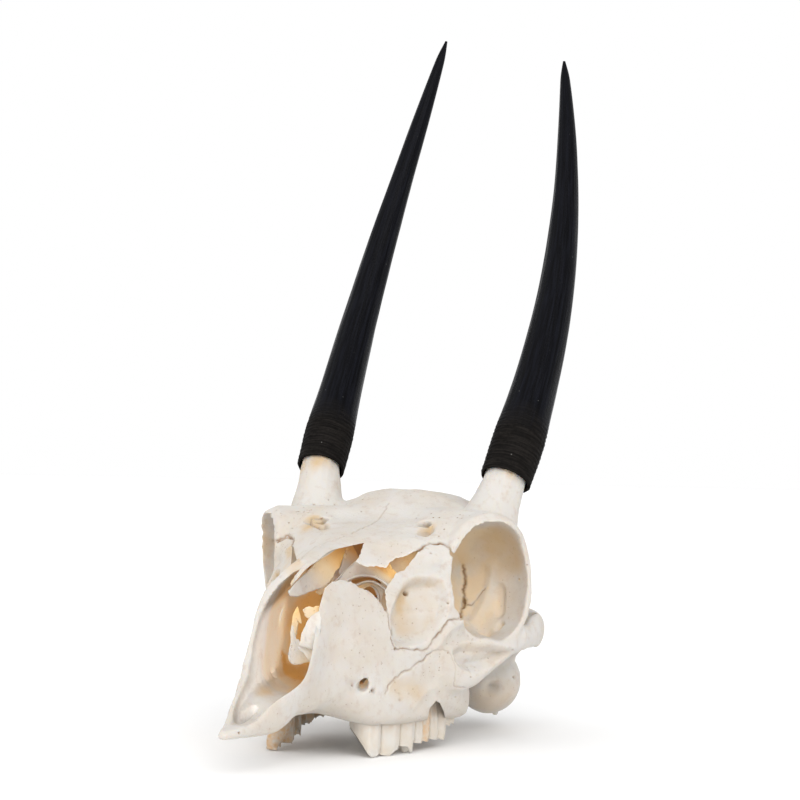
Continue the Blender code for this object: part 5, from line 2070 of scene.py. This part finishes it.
def studio_sky(settings):
    """A white backdrop behind the skull, in a room that is dimmer overhead and in front."""
    world = bpy.data.worlds.new("studio_sky")
    world.use_nodes = True
    tree = world.node_tree
    direction = node(tree, "ShaderNodeTexCoord").outputs["Generated"]
    parts = node(tree, "ShaderNodeSeparateXYZ", {0: direction})
    behind = stretch(tree, parts.outputs["Y"], -0.25, 0.35)
    low = maths(tree, "SUBTRACT", 1.0, stretch(tree, parts.outputs["Z"], 0.25, 0.6))
    share = maths(tree, "MULTIPLY", behind, low)
    span = maths(tree, "MULTIPLY", share, settings.backdrop - settings.room)
    tree.links.new(maths(tree, "ADD", settings.room, span), tree.nodes["Background"].inputs["Strength"])
    tree.nodes["Background"].inputs["Color"].default_value = (1, 1, 1, 1)
    return world


class SKULL_OT_studio(bpy.types.Operator):
    """Sets up the pale floor, the soft light and the camera"""
    bl_idname = "skull.studio"
    bl_label = "Studio"

    def execute(self, context):
        settings = context.scene.skull_studio
        scene = context.scene
        floor = studio_floor()
        floor.data.materials.append(studio_material(settings))
        soft_light("key_light", KEY_FROM, settings.key_strength, KEY_SPREAD)
        soft_light("fill_light", FILL_FROM, settings.fill_strength, FILL_SPREAD)
        scene.world = studio_sky(settings)
        scene.view_settings.view_transform = "Standard"
        add_camera(scene)
        return {"FINISHED"}


def studio_floor():
    """A wide, level disc."""
    shape = bmesh.new()
    turns = turns_of(96)
    loops = []
    for radius in (0.3, 1.0, 3.0):
        loops.append([shape.verts.new((radius * math.cos(a), radius * math.sin(a), 0.0)) for a in turns])
    for low, high in zip(loops, loops[1:]):
        join_rings(shape, high, low)
    shape.faces.new(loops[0])
    return object_from(shape, "studio_floor")


def add_camera(scene):
    """A camera where the fitted view says."""
    camera = bpy.data.objects.new("studio_camera", bpy.data.cameras.new("studio_camera"))
    right, up, back = view_axes()
    at = place(view_point())
    camera.matrix_world = Matrix([(right[i], up[i], back[i], at[i]) for i in range(3)] + [(0, 0, 0, 1)])
    camera.data.sensor_width = SENSOR_WIDTH
    camera.data.lens = VIEW_FOCAL / (2 * VIEW_CENTRE) * SENSOR_WIDTH
    camera.data.clip_start = 0.01
    scene.collection.objects.link(camera)
    scene.camera = camera


class SKULL_PT_panel(bpy.types.Panel):
    """Every step and setting, in the sidebar"""
    bl_idname = "SKULL_PT_panel"
    bl_label = "Steenbok skull"
    bl_space_type = "VIEW_3D"
    bl_region_type = "UI"
    bl_category = "Skull"

    def draw(self, context):
        for step in STEPS:
            self.layout.operator(step.bl_idname)
        for group in GROUPS:
            box = self.layout.box()
            settings = getattr(context.scene, group)
            for name in settings.bl_rna.properties.keys():
                if name not in ("rna_type", "name"):
                    box.prop(settings, name)


STEPS = (SKULL_OT_cranium, SKULL_OT_nose, SKULL_OT_teeth, SKULL_OT_horns, SKULL_OT_studio)
GROUPS = {
    "skull_bone": SkullBoneSettings,
    "skull_teeth": SkullToothSettings,
    "skull_horns": SkullHornSettings,
    "skull_studio": SkullStudioSettings,
}


def register():
    """Adds the settings, the steps and the panel."""
    for group in GROUPS.values():
        bpy.utils.register_class(group)
    for step in STEPS + (SKULL_PT_panel,):
        bpy.utils.register_class(step)
    for name, group in GROUPS.items():
        setattr(bpy.types.Scene, name, PointerProperty(type=group))


def unregister():
    """Takes them away again."""
    for name in GROUPS:
        delattr(bpy.types.Scene, name)
    for step in (SKULL_PT_panel,) + STEPS[::-1]:
        bpy.utils.unregister_class(step)
    for group in GROUPS.values():
        bpy.utils.unregister_class(group)


def main():
    """Builds every piece and the studio."""
    register()
    bpy.ops.skull.cranium()
    bpy.ops.skull.nose()
    bpy.ops.skull.teeth()
    bpy.ops.skull.horns()
    bpy.ops.skull.studio()


if __name__ == "__main__":
    main()
